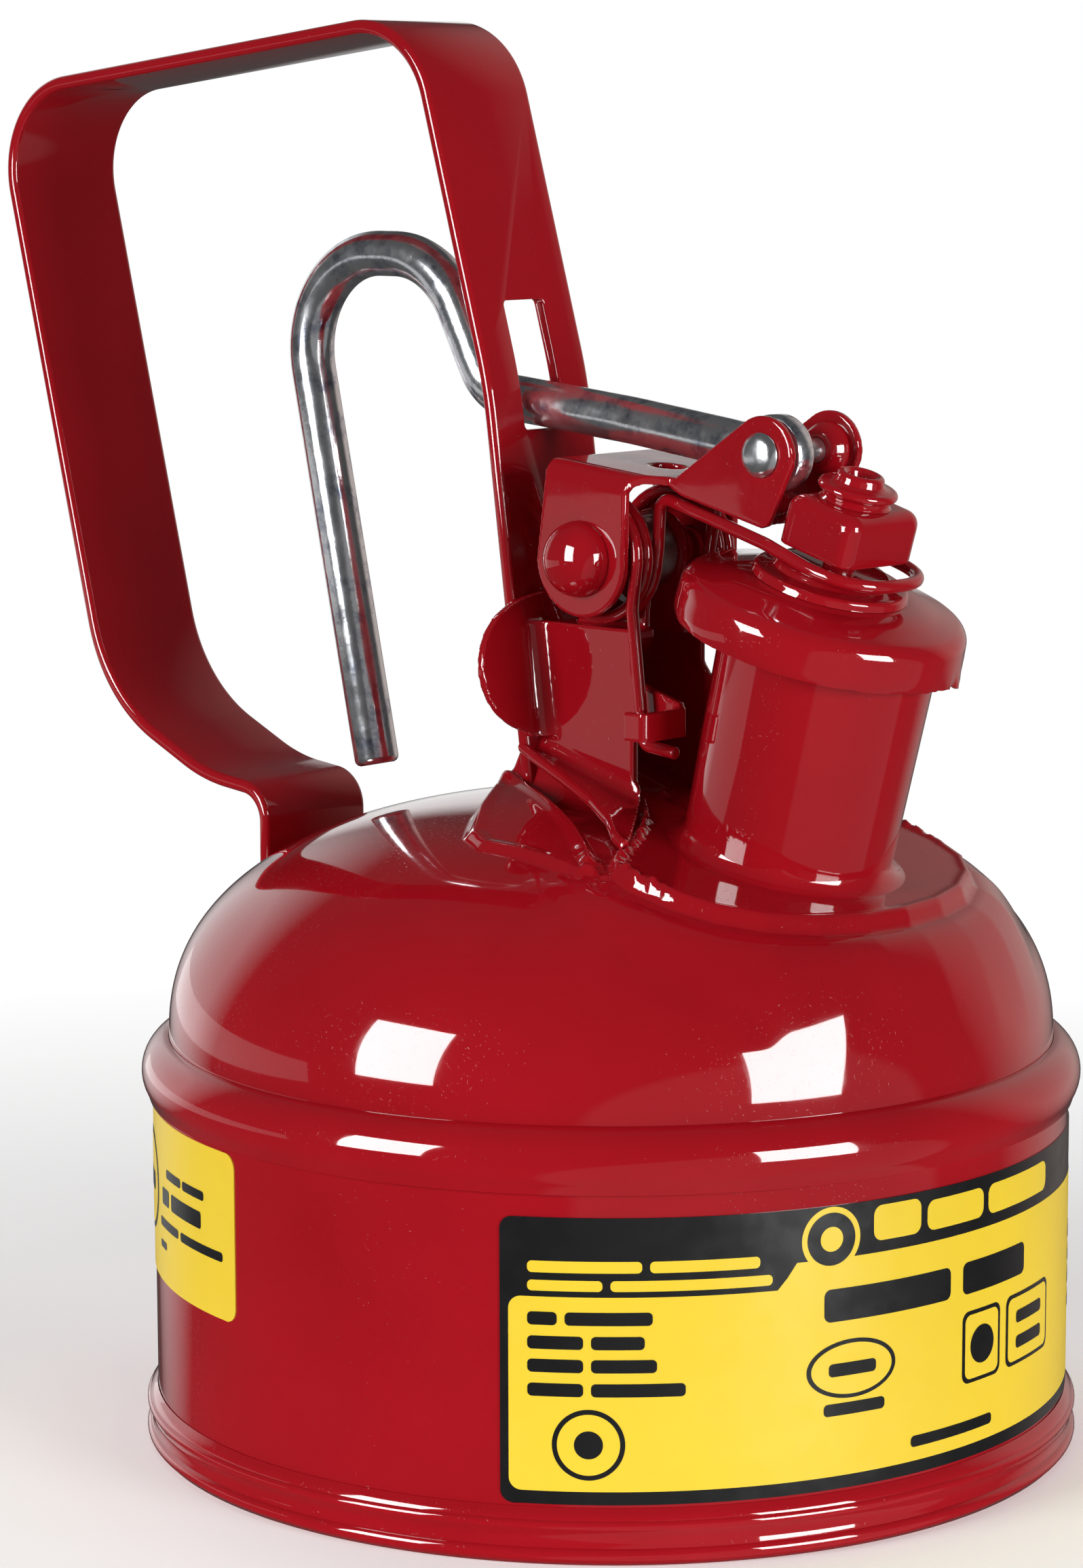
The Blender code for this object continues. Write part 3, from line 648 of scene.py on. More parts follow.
def can_top():
    """Domed top as one smooth shell, with its finest mesh towards the spout."""
    radii = list(np.linspace(0, 50, 171)) + list(DOME_R * np.sin(np.linspace(1.10, pi / 2, 20)))
    radii = sorted(r for r in radii if r <= DOME_R)
    angles = np.radians(np.concatenate((np.arange(-72, 72, 0.5), np.arange(72, 288, 1))))
    verts = []
    for radius in radii[1:]:
        x, y = radius * np.cos(angles), radius * np.sin(angles)
        z = dome_height(x, y)
        verts += list(zip(x, y, z))
    count = len(angles)
    rows = len(radii) - 1
    hem = ((DOME_R, 50.2), (DOME_R - 0.7, 50.2), (DOME_R - 0.7, 53.0))
    underside = ((50, 64), (36, 74), (18, 79))
    for radius, z in hem + underside:
        verts += [(radius * cos(a), radius * sin(a), z) for a in angles]
        rows += 1
    top = len(verts)
    verts += [(0.0, 0.0, float(dome_height(np.zeros(1), np.zeros(1))[0])), (0, 0, 80)]
    faces = []
    for k in range(count):
        n = (k + 1) % count
        faces.append([top, k, n])
        faces.append([top + 1, (rows - 1) * count + n, (rows - 1) * count + k])
        for i in range(rows - 1):
            low = i * count
            faces.append([low + k, low + count + k, low + count + n, low + n])
    return build("dome", verts, faces, angle=60)


def enamelled(made, body, node):
    """Place a red piece."""
    place(made, body, node, "red_enamel", RED)


def can_body():
    """Wall, top, rolled beads and recessed bottom."""
    low, high = WALL_Z
    inner, joint, hem = WALL_R - WALL_T, WALL_R + 0.1, DOME_R + 0.06
    wall = [(WALL_R, high), (WALL_R, 30.0), (WALL_R, 12.0), (WALL_R, low), (inner, low), (inner, high)]
    shoulder = [(hem, BEAD_Z + 4.35)] + arc((BEAD_R - BEAD_ROLL, BEAD_Z), BEAD_ROLL, 68, -30, 28)
    shoulder += [(59.35, 44.7), (joint, 44.5), (inner, 46.8), (inner, 47.6), (hem, 50.3)]
    foot = [(joint, 6.9), (59.25, 6.45), (59.75, 5.9)] + arc((59.45, 4.95), 0.75, 62, -42, 8)
    foot += [(59.62, 3.7), (59.5, 3.2), (59.62, 2.75)] + arc((59.3, 1.35), 0.95, 66, -60, 9)
    foot += [(59.4, 0.12), (58.9, 0), (57.2, 0), (56.9, 0.3), (56.9, 0.9), (joint, 0.9)]
    pan = [(0, 4.6), (56.2, 4.6), (57.4, 5), (57.7, 4.6), (57.7, 1.2), (57.1, 1.2), (57.1, 3.2),
           (56.4, 3.8), (50, 4), (48, 3.5), (0, 3.5)]
    enamelled(revolve("wall", wall, sides=ROUND), "can", "can_wall")
    enamelled(can_top(), "can", "can_top")
    enamelled(revolve("shoulder_bead", shoulder, sides=ROUND), "can", "shoulder_seam")
    enamelled(revolve("foot_bead", foot, sides=ROUND), "can", "base_seam")
    enamelled(revolve("bottom_pan", pan, sides=ROUND), "can", "can_bottom")


# Spout and cap


def spout_radius(s):
    """Outer radius of the spout at s along its axis."""
    return SPOUT_R + SPOUT_FLARE * s


def spout():
    """Conical tube, the rolled lip round its mouth and the uneven soldered fillet round its foot."""
    tube = [(spout_radius(s), s) for s in (SPOUT_TOP, 8.0, 0.0, -6.0, SPOUT_FOOT)]
    tube += [(spout_radius(s) - SPOUT_T, s) for s in (SPOUT_FOOT, SPOUT_TOP)]
    top, inner = SPOUT_TOP, spout_radius(SPOUT_TOP) + GAP
    lip = [(inner, top), (inner, top - 2.6), (inner + 0.3, top - 2.6)]
    lip += arc((inner + 0.1, top - 1.3), 0.72, -75, 75, 10) + [(inner + 0.3, top)]
    base = spout_radius(PAD_TOP)
    wide, tall, steps = 2.6, 2.4, 10
    fillet = []
    for k in range(steps, -1, -1):
        a = pi / 2 * k / steps
        fillet.append((base - 0.05 + wide * (1 - sin(a)), PAD_TOP - 0.1 + tall * (1 - cos(a))))
    fillet += [(base + wide, PAD_TOP - 1.4), (base - 0.4, PAD_TOP - 1.4), (base - 0.4, PAD_TOP + 2.3)]

    def uneven(i, a):
        if i > steps:
            return 0.0, 0.0
        return 0.25 * noise.noise(Vector((2.2 * cos(a), 2.2 * sin(a), 0.1 * i))), 0.0

    enamelled(revolve("neck", tube, SPOUT), "can", "spout_neck")
    enamelled(revolve("neck_rim", lip, SPOUT), "can", "spout_rim")
    enamelled(revolve("neck_fillet", fillet, SPOUT, wobble=uneven), "can", "spout_fillet")


def drips(a):
    """How far enamel has run and built up at the cap's lower edge, by angle round the cap."""
    front = exp(-(remainder(a - radians(24), 2 * pi) / 0.26) ** 2)
    beads = noise.fractal(Vector((7.5 * cos(a), 7.5 * sin(a), 1.3)), 0.8, 2.2, 3)
    return max(0.0, (front + 0.12) * (0.5 + 0.8 * beads))


def cap_shell():
    """Domed cap with a turned-down skirt and runs of enamel at its edge."""
    under = 1.1
    crown = [(0, 3.45), (9.4, CAP_CROWN), (11.4, 3.1), (13.4, 2.6), (15.2, 2.05)]
    crown += arc((15.75, -0.2), 2.15, 72, 0, 9)
    crown += [(CAP_R, -1.6), (CAP_R, -2.8), (17.85, -3.4), (17.7, -3.75), (17.3, CAP_SKIRT)]
    inside = [(16.95, -3.7), (16.85, -3), (16.8, -1.4), (16.6, -0.4), (16.1, 0.6), (15.2, under)]
    edge = len(crown) - 1
    share = {edge - 3: 0.2, edge - 2: 0.7, edge - 1: 1.0, edge: 1.0, edge + 1: 0.5}

    def run(i, a):
        amount = drips(a) * share.get(i, 0.0)
        return 0.8 * amount, -1.0 * amount

    profile = crown + inside + [(0.0, under)]
    enamelled(revolve("cap_shell", profile, CAP, 2 * SMALL_ROUND, run), "cap_arm", "cap_disc")


def cap_button():
    """Stepped button in the middle of the cap."""
    profile = [(0.0, BOSS_TOP), (5.9, BOSS_TOP)] + arc((6.5, 4.95), 0.75, 80, 10, 5)
    profile += [(7.4, 4.75), (7.9, 4.6), (8.8, 4.55)] + arc((9.1, 4), 0.55, 80, -10, 5)
    profile += [(9.75, CAP_CROWN), (0.0, CAP_CROWN)]
    enamelled(revolve("cap_button", profile, CAP), "cap_arm", "cap_boss")


def cap_rivet():
    """Hollow rivet standing on the saddle."""
    seat = SADDLE[1][2]
    profile = [(0.0, seat + 1.6), (1.1, seat + 1.6), (1.4, seat + 2.6), (1.7, seat + 3.3)]
    profile += arc((2.35, seat + 3.0), 0.62, 140, 0, 8)
    profile += [(3.1, seat + 2.5), (3.5, seat + 2.2), (4.2, seat + 2.1)]
    profile += arc((4.4, seat + 1.55), 0.55, 80, -60, 8)
    profile += [(4.2, seat + 0.8), (4.15, seat + 0.4), (4.5, seat + 0.02), (2.0, seat - 0.3)]
    profile += [(2, 5), (0, 5)]
    enamelled(revolve("rivet", profile, RIVET, 64), "cap_arm", "cap_rivet")


def saddle():
    """Sheet box over the end of the lever."""
    low, high = SADDLE
    made = box("saddle", low, high, CAP)
    round_edges(made, 1.9, 8)
    inner = (high[0] - SHEET, high[1] - SHEET, high[2] - SHEET)
    cut(made, box("inside", (low[0] - 3.0, low[1] + SHEET, 4.0), inner, CAP))
    cut(made, box("foot", (-12, -9, 4), (12.0, 9.0, SADDLE_FOOT), CAP))
    soften(made, 0.17, 5)
    enamelled(made, "cap_arm", "spring_saddle")


# Lever, pins, bracket and spring


def on_cap(e, n):
    """World (x, z) of a point e along and n above the cap plane."""
    point = CAP @ Vector((e, 0.0, n))
    return point.x, point.z


def plate_top(x):
    """Height of the lever's sloping top plate."""
    return LEVER_TOP - LEVER_FALL * x


def lever_channel():
    """Bent channel of the lever: a sloping top plate with a round lobe down each side."""
    outer_bend, inner_bend = 2.2, 1.1
    corner = (LEVER_HALF - outer_bend, plate_top(0.0) - outer_bend)
    outer = [(LEVER_HALF, 100.0)] + arc(corner, outer_bend, 0, 90, 8)
    inner = [(LEVER_HALF - SHEET, 100.0)] + arc(corner, inner_bend, 0, 90, 8)
    right = outer + [(-y, z) for y, z in reversed(outer)]
    left = inner + [(-y, z) for y, z in reversed(inner)]
    section = right + left[::-1]
    made = loft("lever", [[(x, y, z - LEVER_FALL * x) for y, z in section] for x in (-4, 16.6)])

    side = [(-1, 128), (-1.2, 124.6)] + arc(HINGE, LOBE_R, 184, 352, 40)
    side += [(12.1, 122.6), (12.7, plate_top(12.7) - 1.5), (16.4, plate_top(16.4) - 1.3), (16.4, 128)]
    keep(made, prism("side", side, -20.0, 20.0))
    ear = EAR_HALF
    plan = [(-6, -12), (12.4, -12), (12.4, -10.4), (15.8, -ear), (18.0, -ear), (18.0, ear), (15.8, ear),
            (12.4, 10.4), (12.4, 12), (-6, 12)]
    keep(made, prism("plan", plan, 90.0, 140.0, FROM_PLAN))
    cut(made, bore(2.2, Matrix.Translation((9.6, 0, 125))))
    return made


def lever_web():
    """Web that runs from the top plate down and under the saddle, with a wide part between the ears."""
    seat = SADDLE[1][2] - SHEET - GAP
    web = [(15.2, plate_top(15.2)), (17, 124), (31, 120.6), on_cap(-3.0, seat), on_cap(4.8, seat),
           on_cap(4.8, seat - SHEET), on_cap(-3.2, seat - SHEET), (30.9, 119.5), (17, 122.9),
           (15.2, plate_top(15.2) - SHEET)]
    wide = [(15.6, plate_top(15.6) - 0.05), (17, 123.95), (31, 120.55), (31.2, 119.45), (17, 122.95),
            (15.6, plate_top(15.6) - SHEET + 0.05)]
    return [prism("web", web, -4.6, 4.6), prism("web_wide", wide, 0.3 - EAR_HALF, EAR_HALF - 0.3)]


def lever_ears():
    """Two clevis ears that hold the rod's pin."""
    outline = [(15.9, 123.2), (16.4, 124.3)] + arc(CLEVIS, EAR_R, 128, -14, 24)
    outline += [(31.9, 120.4), (31.3, 119.4), (30.4, 119.1), (17.6, 122.3)]
    return [prism("ear", outline, low, low + SHEET) for low in (-EAR_HALF, EAR_HALF - SHEET)]


def lever():
    """Cap lever: channel, web and ears as one stamping."""
    made = lever_channel()
    join(made, lever_web() + lever_ears())
    soften(made, 0.19, 5)
    cut(made, bore(PIN_R + 0.1, along_y(*CLEVIS)))
    cut(made, bore(HINGE_PIN_R + 0.1, along_y(*HINGE)))
    enamelled(made, "cap_arm", "cap_lever")


def domed_head(radius, rise, foot, steps=10):
    """Half profile of a rivet head standing on height foot, from its crown to its rim."""
    points = [(0.0, foot + rise)]
    for k in range(1, steps):
        a = pi / 2 * k / steps
        points.append((radius * sin(a), foot + rise * cos(a) ** 0.8))
    points += [(radius + 0.05, foot + 0.25), (radius, foot)]
    return points


def pins():
    """Bright clevis pin with two low heads, its collar, the big pivot rivet and its spacer sleeve."""
    head = EAR_HALF + 0.05
    pin = [(0.0, head + 1.2), (1.2, head + 1.15), (2.0, head + 0.95), (2.5, head + 0.6), (2.75, head + 0.2),
           (2.75, head), (PIN_R, head), (PIN_R, -head), (2.7, -head), (2.75, -head - 0.2),
           (2.45, -head - 0.65), (1.9, -head - 0.95), (1.1, -head - 1.12), (0.0, -head - 1.18)]
    made = revolve("clevis_rivet", pin, along_y(*CLEVIS), 64)
    place(made, "cap_arm", "clevis_pin", "zinc_pin", PIN_ZINC)
    face = EAR_HALF - SHEET - 0.05
    ring = [(3.5, face), (3.45, face - 0.5), (3.2, face - 1.1), (2.8, face - 1.8), (2.5, face - 2.15),
            (2.2, face - 2.25), (PIN_R + 0.05, face - 2.25), (PIN_R + 0.05, face)]
    enamelled(revolve("collar", ring, along_y(*CLEVIS), 64), "cap_arm", "pin_collar")
    face = LEVER_HALF + 0.02
    half = domed_head(4.75, 4.0, face) + [(HINGE_PIN_R, face)]
    rivet = half + [(radius, -height) for radius, height in reversed(half)]
    enamelled(revolve("pivot_rivet", rivet, along_y(*HINGE), 80), "can", "hinge_rivet")
    reach, hole = EAR_IN - 0.1, HINGE_PIN_R + 0.1
    tube = [(4.2, reach), (4.4, reach - 0.2), (4.4, 0.2 - reach), (4.2, -reach)]
    tube += [(hole, -reach), (hole, reach)]
    made = revolve("sleeve", tube, along_y(*HINGE), 64)
    place(made, "can", "hinge_sleeve", "sleeve_steel", PLAIN_STEEL)


def strap_line():
    """Centre line of the strap, front foot to rear foot."""
    return rounded([(x, 0.0, z) for x, z in STRAP_CORNERS], STRAP_BENDS, 24)


def strap_front(z):
    """x of the strap's front face on its front leg."""
    line = strap_line()
    for a, b in zip(line, line[1:]):
        if a.z <= z <= b.z:
            return a.x + (b.x - a.x) * (z - a.z) / (b.z - a.z) + STRAP_T / 2 * 1.01
    return line[0].x


def strap_section():
    """Flat bar with round edges, as (across, through)."""
    y, n = STRAP_HALF - STRAP_EDGE, STRAP_T / 2 - STRAP_EDGE
    section = []
    for centre, start in (((y, n), 0), ((-y, n), 90), ((-y, -n), 180), ((y, -n), 270)):
        section += arc(centre, STRAP_EDGE, start, start + 90, 6)
    return section


def strap():
    """Flat strap handle with a slot for the rod."""
    line = strap_line()
    section = strap_section()
    rings = []
    for i, point in enumerate(line):
        ahead = (line[min(i + 1, len(line) - 1)] - line[max(i - 1, 0)]).normalized()
        normal = Vector((-ahead.z, 0.0, ahead.x))
        rings.append([point + normal * n + Vector((0.0, y, 0.0)) for y, n in section])
    made = loft("strap", rings)
    low, high = SLOT_Z
    window = soft_outline([(-SLOT_HALF, low), (SLOT_HALF, low), (SLOT_HALF, high), (-SLOT_HALF, high)], 0.7)
    cut(made, prism("slot", window, -30.0, 0.0, FROM_FRONT))
    round_edges(made, 0.3, 3, 50)
    smooth(made, 50)
    enamelled(made, "can", "carry_strap")


def flange(sign):
    """Foot flange spread over the dome: a soft bend up to its side plate and a thick enamelled edge."""
    bend, edge, corner = 1.5, 0.85, BRACKET_FRONT + 0.4
    places, edges = zip(*FLANGE_EDGE)
    rings = []
    for x in np.linspace(places[0], places[-1], 50):
        outer = float(np.interp(x, places, edges))
        past = max(0.0, x - corner)
        inner = BRACKET_HALF - SHEET + past * 1.38
        root = max(inner, BRACKET_HALF)
        top = flange_z(x)
        climb = bend * max(0.0, 1.0 - past / 2.0)
        ring = [(inner, top - 1.5), (inner, top + climb)]
        for a in np.linspace(0.0, pi / 2, 9):
            ring.append((root + climb * (1 - cos(a)), top - 0.35 + (climb + 0.35) * (1 - sin(a))))
        for a in np.linspace(-0.5, pi, 11):
            ring.append((outer - edge + edge * sin(a), top - 0.5 + edge * cos(a)))
        rings.append([(x, sign * y, z) for y, z in ring])
    return loft("flange", rings)


def bracket_side(sign):
    """Side plate, the ledge over it and the inner ear that the rivet passes through."""
    back, front, top = BRACKET_BACK, BRACKET_FRONT, BRACKET_TOP
    plate = [(back, top), (back, 84.0), (front, 80.0), (front, 91.6), (17.2, 92.2), (17.6, 96.6),
             (11, 98.6), (front, 100.0), (front, top)]
    ledge = [(-4.9, 103.9), (front - 0.1, 103.9), (front - 0.1, 105.0), (-4.9, 105)]
    ear = arc(HINGE, 5.4, -20, 200, 30) + [(-2.2, 104.2), (front - 0.8, 104.2)]
    parts = []
    for name, outline, first, last in (("plate", plate, BRACKET_HALF - SHEET, BRACKET_HALF),
                                       ("ear", ear, EAR_IN, EAR_IN + SHEET),
                                       ("ledge", ledge, EAR_IN, BRACKET_HALF)):
        parts.append(prism(name, outline, *sorted((sign * first, sign * last))))
    return parts


def bracket_wings():
    """Round-ended plate behind the sides, welded flat to the strap."""
    steps, clear = 40, 0.35
    rings = []
    for k in range(steps + 1):
        a = pi * (k + clear) / (steps + 2 * clear)
        z = WING_Z - WING_H * cos(a)
        y = WING_Y * sin(a) ** 0.7
        x = strap_front(z) + 0.05
        rings.append([(x, -y, z), (x, y, z), (x + SHEET, y, z), (x + SHEET, -y, z)])
    return loft("wing", rings)


def bracket_bend(sign):
    """Rounded bend between a wing and its side plate."""
    rings = []
    for z in (90.6, BRACKET_TOP):
        x = strap_front(z) + 0.05
        ring = [(x, sign * (BRACKET_HALF + BEND_R), z)]
        for k in range(13):
            a = pi / 2 * k / 12
            side = BRACKET_HALF + BEND_R * (1 - sin(a))
            ring.append((x + SHEET + BEND_R * (1 - cos(a)), sign * side, z))
        inner = sign * (BRACKET_HALF - SHEET)
        rings.append(ring + [(x + SHEET + BEND_R, inner, z), (x, inner, z)])
    return loft("bend", rings)


def bracket_tab(sign):
    """Folded tab that anchors the spring's foot."""
    plan = [(16.9, 6), (16.9, 13), (14.6, 13), (14.6, 14.1), (17.5, 14.1), (18, 13.6), (18, 6)]
    return prism("tab", [(x, sign * y) for x, y in plan], 92.4, 96.0, FROM_PLAN)


def bracket():
    """Hinge bracket: sides, wings, bends, tabs and foot flanges fused under enamel."""
    parts = bracket_side(-1) + bracket_side(1) + [bracket_wings()]
    for sign in (-1, 1):
        parts += [bracket_bend(sign), flange(sign), bracket_tab(sign)]
    made = parts[0]
    made.name = "bracket"
    join(made, parts[1:])
    soften(made, 0.23, 4)
    cut(made, bore(HINGE_PIN_R + 0.1, along_y(*HINGE)))
    enamelled(made, "can", "hinge_bracket")


def spring_foot():
    """Anchored foot of the spring, up to its coil."""
    y = -COIL_Y[0]
    return rounded([(18.4, y, 90.7), (13.4, y, 91.2), (12.7, y, 97.0), (11.4, y, 108.0)], [1.4, 20.0], 8)


def spring_coil():
    """Coil on one side, from its outer end to its inner end."""
    px, pz = HINGE
    outer, inner = COIL_Y
    steps = COIL_TURNS * 40
    points = []
    for k in range(steps + 1):
        a = 2 * pi * COIL_TURNS * k / steps
        y = (outer - inner) * k / steps - outer
        points.append(Vector((px + COIL_R * cos(a), y, pz + COIL_R * sin(a))))
    return points


def spring_leg():
    """Leg from the coil to the saddle, and a quarter of the loop round the saddle's front."""
    side = SADDLE[1][1] + GAP + WIRE_R
    enter = CAP @ Vector((-5.0, -side, LOOP_LEVEL + 0.6))
    turn = CAP @ Vector((LOOP_E, -side, LOOP_LEVEL))
    points = rounded([(12.4, -COIL_Y[1], 115.4), (13.2, -5.5, 122), enter, turn], [1.9, 8.0], 10)
    steps, square = 24, 0.77
    for k in range(1, steps + 1):
        a = pi / 2 * k / steps
        out = side * sin(a) ** square
        back = side * cos(a) ** square if k < steps else 0.0
        points.append(CAP @ Vector((LOOP_E + out, -back, LOOP_LEVEL)))
    return points


def spring():
    """Double torsion spring, looped round the saddle."""
    half = spring_foot() + spring_coil() + spring_leg()
    other = [Vector((p.x, -p.y, p.z)) for p in reversed(half[:-1])]
    made = sweep("spring", half + other, WIRE_R, 18)
    dress(made, "cap_spring", RED)
    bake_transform(made)


def rod_bar():
    """Round bar of the trigger rod, forged flat towards its eye."""
    line = rounded(ROD_CORNERS, ROD_BENDS, 24)
    neck_places = [0.04, 0.08, 0.12, 0.16, 0.20, 0.24, 0.28, 0.33]
    shapes = []
    for t in neck_places:
        blend = float(ease(np.array((t - 0.06) / 0.22)))
        shapes.append((0.5 + 0.5 * blend, 1.38 - 0.38 * blend))
    shapes += [(1, 1)] * (len(line) - 1)
    path = [line[0].lerp(line[1], t) for t in neck_places] + line[1:]
    return sweep("rod", path, ROD_R, 48, shapes)


def rod_eye():
    """Flat eye with soft edges."""
    front, back = EYE_Y + EYE_HALF, EYE_Y - EYE_HALF
    rim = [(EYE_R - 0.7, 0.0), (EYE_R - 0.25, 0.2), (EYE_R, 0.65)]
    profile = [(0.0, front)] + [(radius, front - drop) for radius, drop in rim]
    profile += [(radius, back + drop) for radius, drop in reversed(rim)] + [(0.0, back)]
    return revolve("eye", profile, along_y(*CLEVIS), 72)


def rod():
    """Trigger rod: eye on the clevis pin, straight through the strap, then up and over."""
    made = rod_bar()
    combine(made, rod_eye(), "UNION")
    cut(made, bore(PIN_R + 0.1, along_y(*CLEVIS), -12.0, 9.0))
    place(made, "trigger", "trigger_rod", "zinc_rod", ROD_ZINC)


# Labels. Places are (degrees from +X, height). Rows of bars are (low, high, then the first and last
# degree of each bar)

FILM_R = WALL_R + 0.14
INK_T = 0.03
ARC_PER_DEGREE = radians(1) * WALL_R
FRONT_SPAN = (-61.2, 61.2)
FRONT_HEADER = ((35.3, 36.7, -58, -44.9, -44, -31.2), (33.1, 34.4, -58, -49.4, -48.5, -29.7))
FRONT_TITLE = ((36.9, 41.2, -16.6, -9.6), (36.9, 40.6, -8.6, 1.4, 2.4, 17.6))
FRONT_NAME = (27.8, 31.8, -23.2, -4.6, -2.4, 11)
FRONT_ROWS = ((29, 30.6, -58, -54.6, -53.7, -43.7), (26.1, 27.7, -58, -51.6, -50.7, -44.6),
              (23.3, 24.9, -58, -51.6, -50.7, -43.2), (20.4, 22, -58, -51.6, -50.7, -39.9),
              (16.3, 17.8, -23.2, -14.9), (10.6, 12, -10.9, 3.5), (26.6, 28.2, 33, 52),
              (23.6, 25.2, 33, 49), (20.6, 22.2, 33, 55), (17.6, 19.2, 33, 46))
FRONT_PANELS = (16.6, 25.6, -2.4, 5.2, 6.6, 18.6)
FRONT_FIELDS = (17.1, 25.1, -1.9, 4.7, 7.1, 18.1)
FRONT_MARKS = ((21.1, 22.7, -22.6, -16.2), (18.6, 20.2, 9, 16.2), (21.8, 23.4, 9, 16.2))
BADGE = (-22.3, 37.9)
RING = (-51, 14.6)
OVAL = (-19.4, 21.9)
SPOT = (1.4, 21.1)
SIDE_SPAN = (-145.6, -99.3)
SIDE_RING = (-130.6, 34.6)
SIDE_ROWS = ((36.9, 38.1, -119.4, -113.4, -112.8, -106.4), (33.2, 35.4, -121.6, -118.2, -117.2, -107.2),
             (30.2, 31.4, -122.8, -114.4, -113.6, -101.9), (27.4, 28.4, -122.8, -119.6))
SIDE_MARK = (33.4, 35.8, -134.2, -127)


def strip(name, columns, radius):
    """Thin printed patch on the wall. columns are (angle in degrees, low, high)."""
    verts = []
    for angle, low, high in columns:
        x, y = radius * cos(radians(angle)), radius * sin(radians(angle))
        verts += [(x, y, low), (x, y, high)]
    faces = [[2 * i, 2 * i + 2, 2 * i + 3, 2 * i + 1] for i in range(len(columns) - 1)]
    mesh = bpy.data.meshes.new(name)
    mesh.from_pydata(verts, [], faces)
    mesh.transform(TO_FRAME)
    made = link(name, mesh)
    smooth(made, 60)
    return made


def panel_columns(start, end, low, high, corner):
    """Columns of a rectangle whose corners are rounded by corner drawing units."""
    reach = corner / ARC_PER_DEGREE
    curve = np.linspace(0.0, pi / 2, 9)
    columns = []
    for a in curve:
        drop = corner * (1 - sin(a))
        columns.append((start + reach * (1 - cos(a)), low + drop, high - drop))
    for a in np.linspace(start + reach, end - reach, max(2, int((end - start) / 1.2))):
        columns.append((a, low, high))
    for a in reversed(curve):
        drop = corner * (1 - sin(a))
        columns.append((end - reach * (1 - cos(a)), low + drop, high - drop))
    return columns


def round_columns(centre, radius, tall=None):
    """Columns of a disc, or of an oval when tall gives its half height."""
    angle, height = centre
    columns = []
    for k in range(33):
        a = pi * k / 32
        rise = (tall or radius) * sin(a)
        columns.append((angle - cos(a) * radius / ARC_PER_DEGREE, height - rise, height + rise))
    return columns


def bars(rows, corner=0.55):
    """Solid bars standing in for wording."""
    return [panel_columns(*row[i:i + 2], *row[:2], corner) for row in rows for i in range(2, len(row), 2)]


def label_base(name, columns, node, material):
    """Label film, with a little thickness."""
    made = strip(name, columns, FILM_R)
    thick = made.modifiers.new("thickness", "SOLIDIFY")
    thick.thickness = (FILM_R - WALL_R) * UNIT
    thick.offset = -1.0
    apply_modifiers(made)
    smooth(made, 40)
    place(made, "can", node, "label_film", material)


def prints(name, patches, level, material):
    """Join printed patches of one colour into one piece, level steps above the film."""
    pieces = [strip(name, columns, FILM_R + INK_T * level) for columns in patches]
    first = pieces[0]
    join(first, pieces[1:])
    first.name = name
    place(first, "can", None, "label_film", material)


def front_field(start, end):
    """Yellow field whose top edge steps up past the header wording."""
    columns = []
    for angle, low, high in panel_columns(start, end, 8.9, 32.4, 1.5):
        lift = 3.1 * min(1.0, max(0.0, (angle + 28.6) / 1.6))
        columns.append((angle, low, high + lift * min(1.0, max(0.0, (end - angle) / 1.0))))
    return columns


def front_label():
    """Black film, yellow field, and plain bars, rings and panels where the wording and marks would be."""
    start, end = FRONT_SPAN
    label_base("front_film", panel_columns(start, end, 7.3, 41.9, 1.5), "front_label", BLACK)
    yellow = bars(FRONT_HEADER) + bars(FRONT_TITLE, 1.2)
    yellow += [front_field(start + 1.0, end - 1.0), round_columns(BADGE, 3.9)]
    prints("front_yellow", yellow, 1, YELLOW)
    black = bars(FRONT_ROWS) + bars([FRONT_NAME], 0.9)
    black += [round_columns(BADGE, 3.2), round_columns(RING, 4.3), round_columns(OVAL, 6.2, 3.6)]
    black += bars([FRONT_PANELS], 1.2)
    prints("front_black", black, 2, BLACK)
    inner = [round_columns(BADGE, 1.5), round_columns(RING, 3.7), round_columns(OVAL, 5.6, 3.1)]
    inner += bars([FRONT_FIELDS], 1.0)
    prints("front_yellow_rings", inner, 3, YELLOW)
    marks = [round_columns(RING, 1.7), round_columns(SPOT, 2.4)] + bars(FRONT_MARKS)
    prints("front_black_marks", marks, 4, BLACK)


def side_label():
    """Yellow film with a ring and bars."""
    label_base("side_film", panel_columns(*SIDE_SPAN, 23.0, 44.1, 1.9), "side_label", YELLOW)
    prints("side_black", bars(SIDE_ROWS, 0.45) + [round_columns(SIDE_RING, 6.6)], 1, BLACK)
    prints("side_yellow", [round_columns(SIDE_RING, 5.9)], 2, YELLOW)
    prints("side_marks", bars([SIDE_MARK], 0.9), 3, BLACK)


# Studio

HEADING = radians(42.4)
VIEW_RIGHT = Vector((cos(HEADING), sin(HEADING), 0.0))
VIEW_AWAY = Vector((-sin(HEADING), cos(HEADING), 0.0))
CAMERA_PITCH = radians(8.72)
CAMERA_ROLL = radians(-0.14)
# Right of the can's axis, in front of it and above the floor, in drawing units
CAMERA_PLACE = (-8.81, 560.2, 169.9)
CAMERA_LENS = 101.7
SENSOR = 36.0
# Azimuth, elevation, width, height
KEYS = {"left": (-55, 14, 0.33, 0.46), "right": (45, 6, 0.36, 0.42)}


def studio_direction(azimuth, elevation):
    """Unit vector in degrees. Azimuth is from the camera's side, positive to the right."""
    a, e = radians(azimuth), radians(elevation)
    level = VIEW_RIGHT * sin(a) - VIEW_AWAY * cos(a)
    return level * cos(e) + Vector((0.0, 0.0, sin(e)))


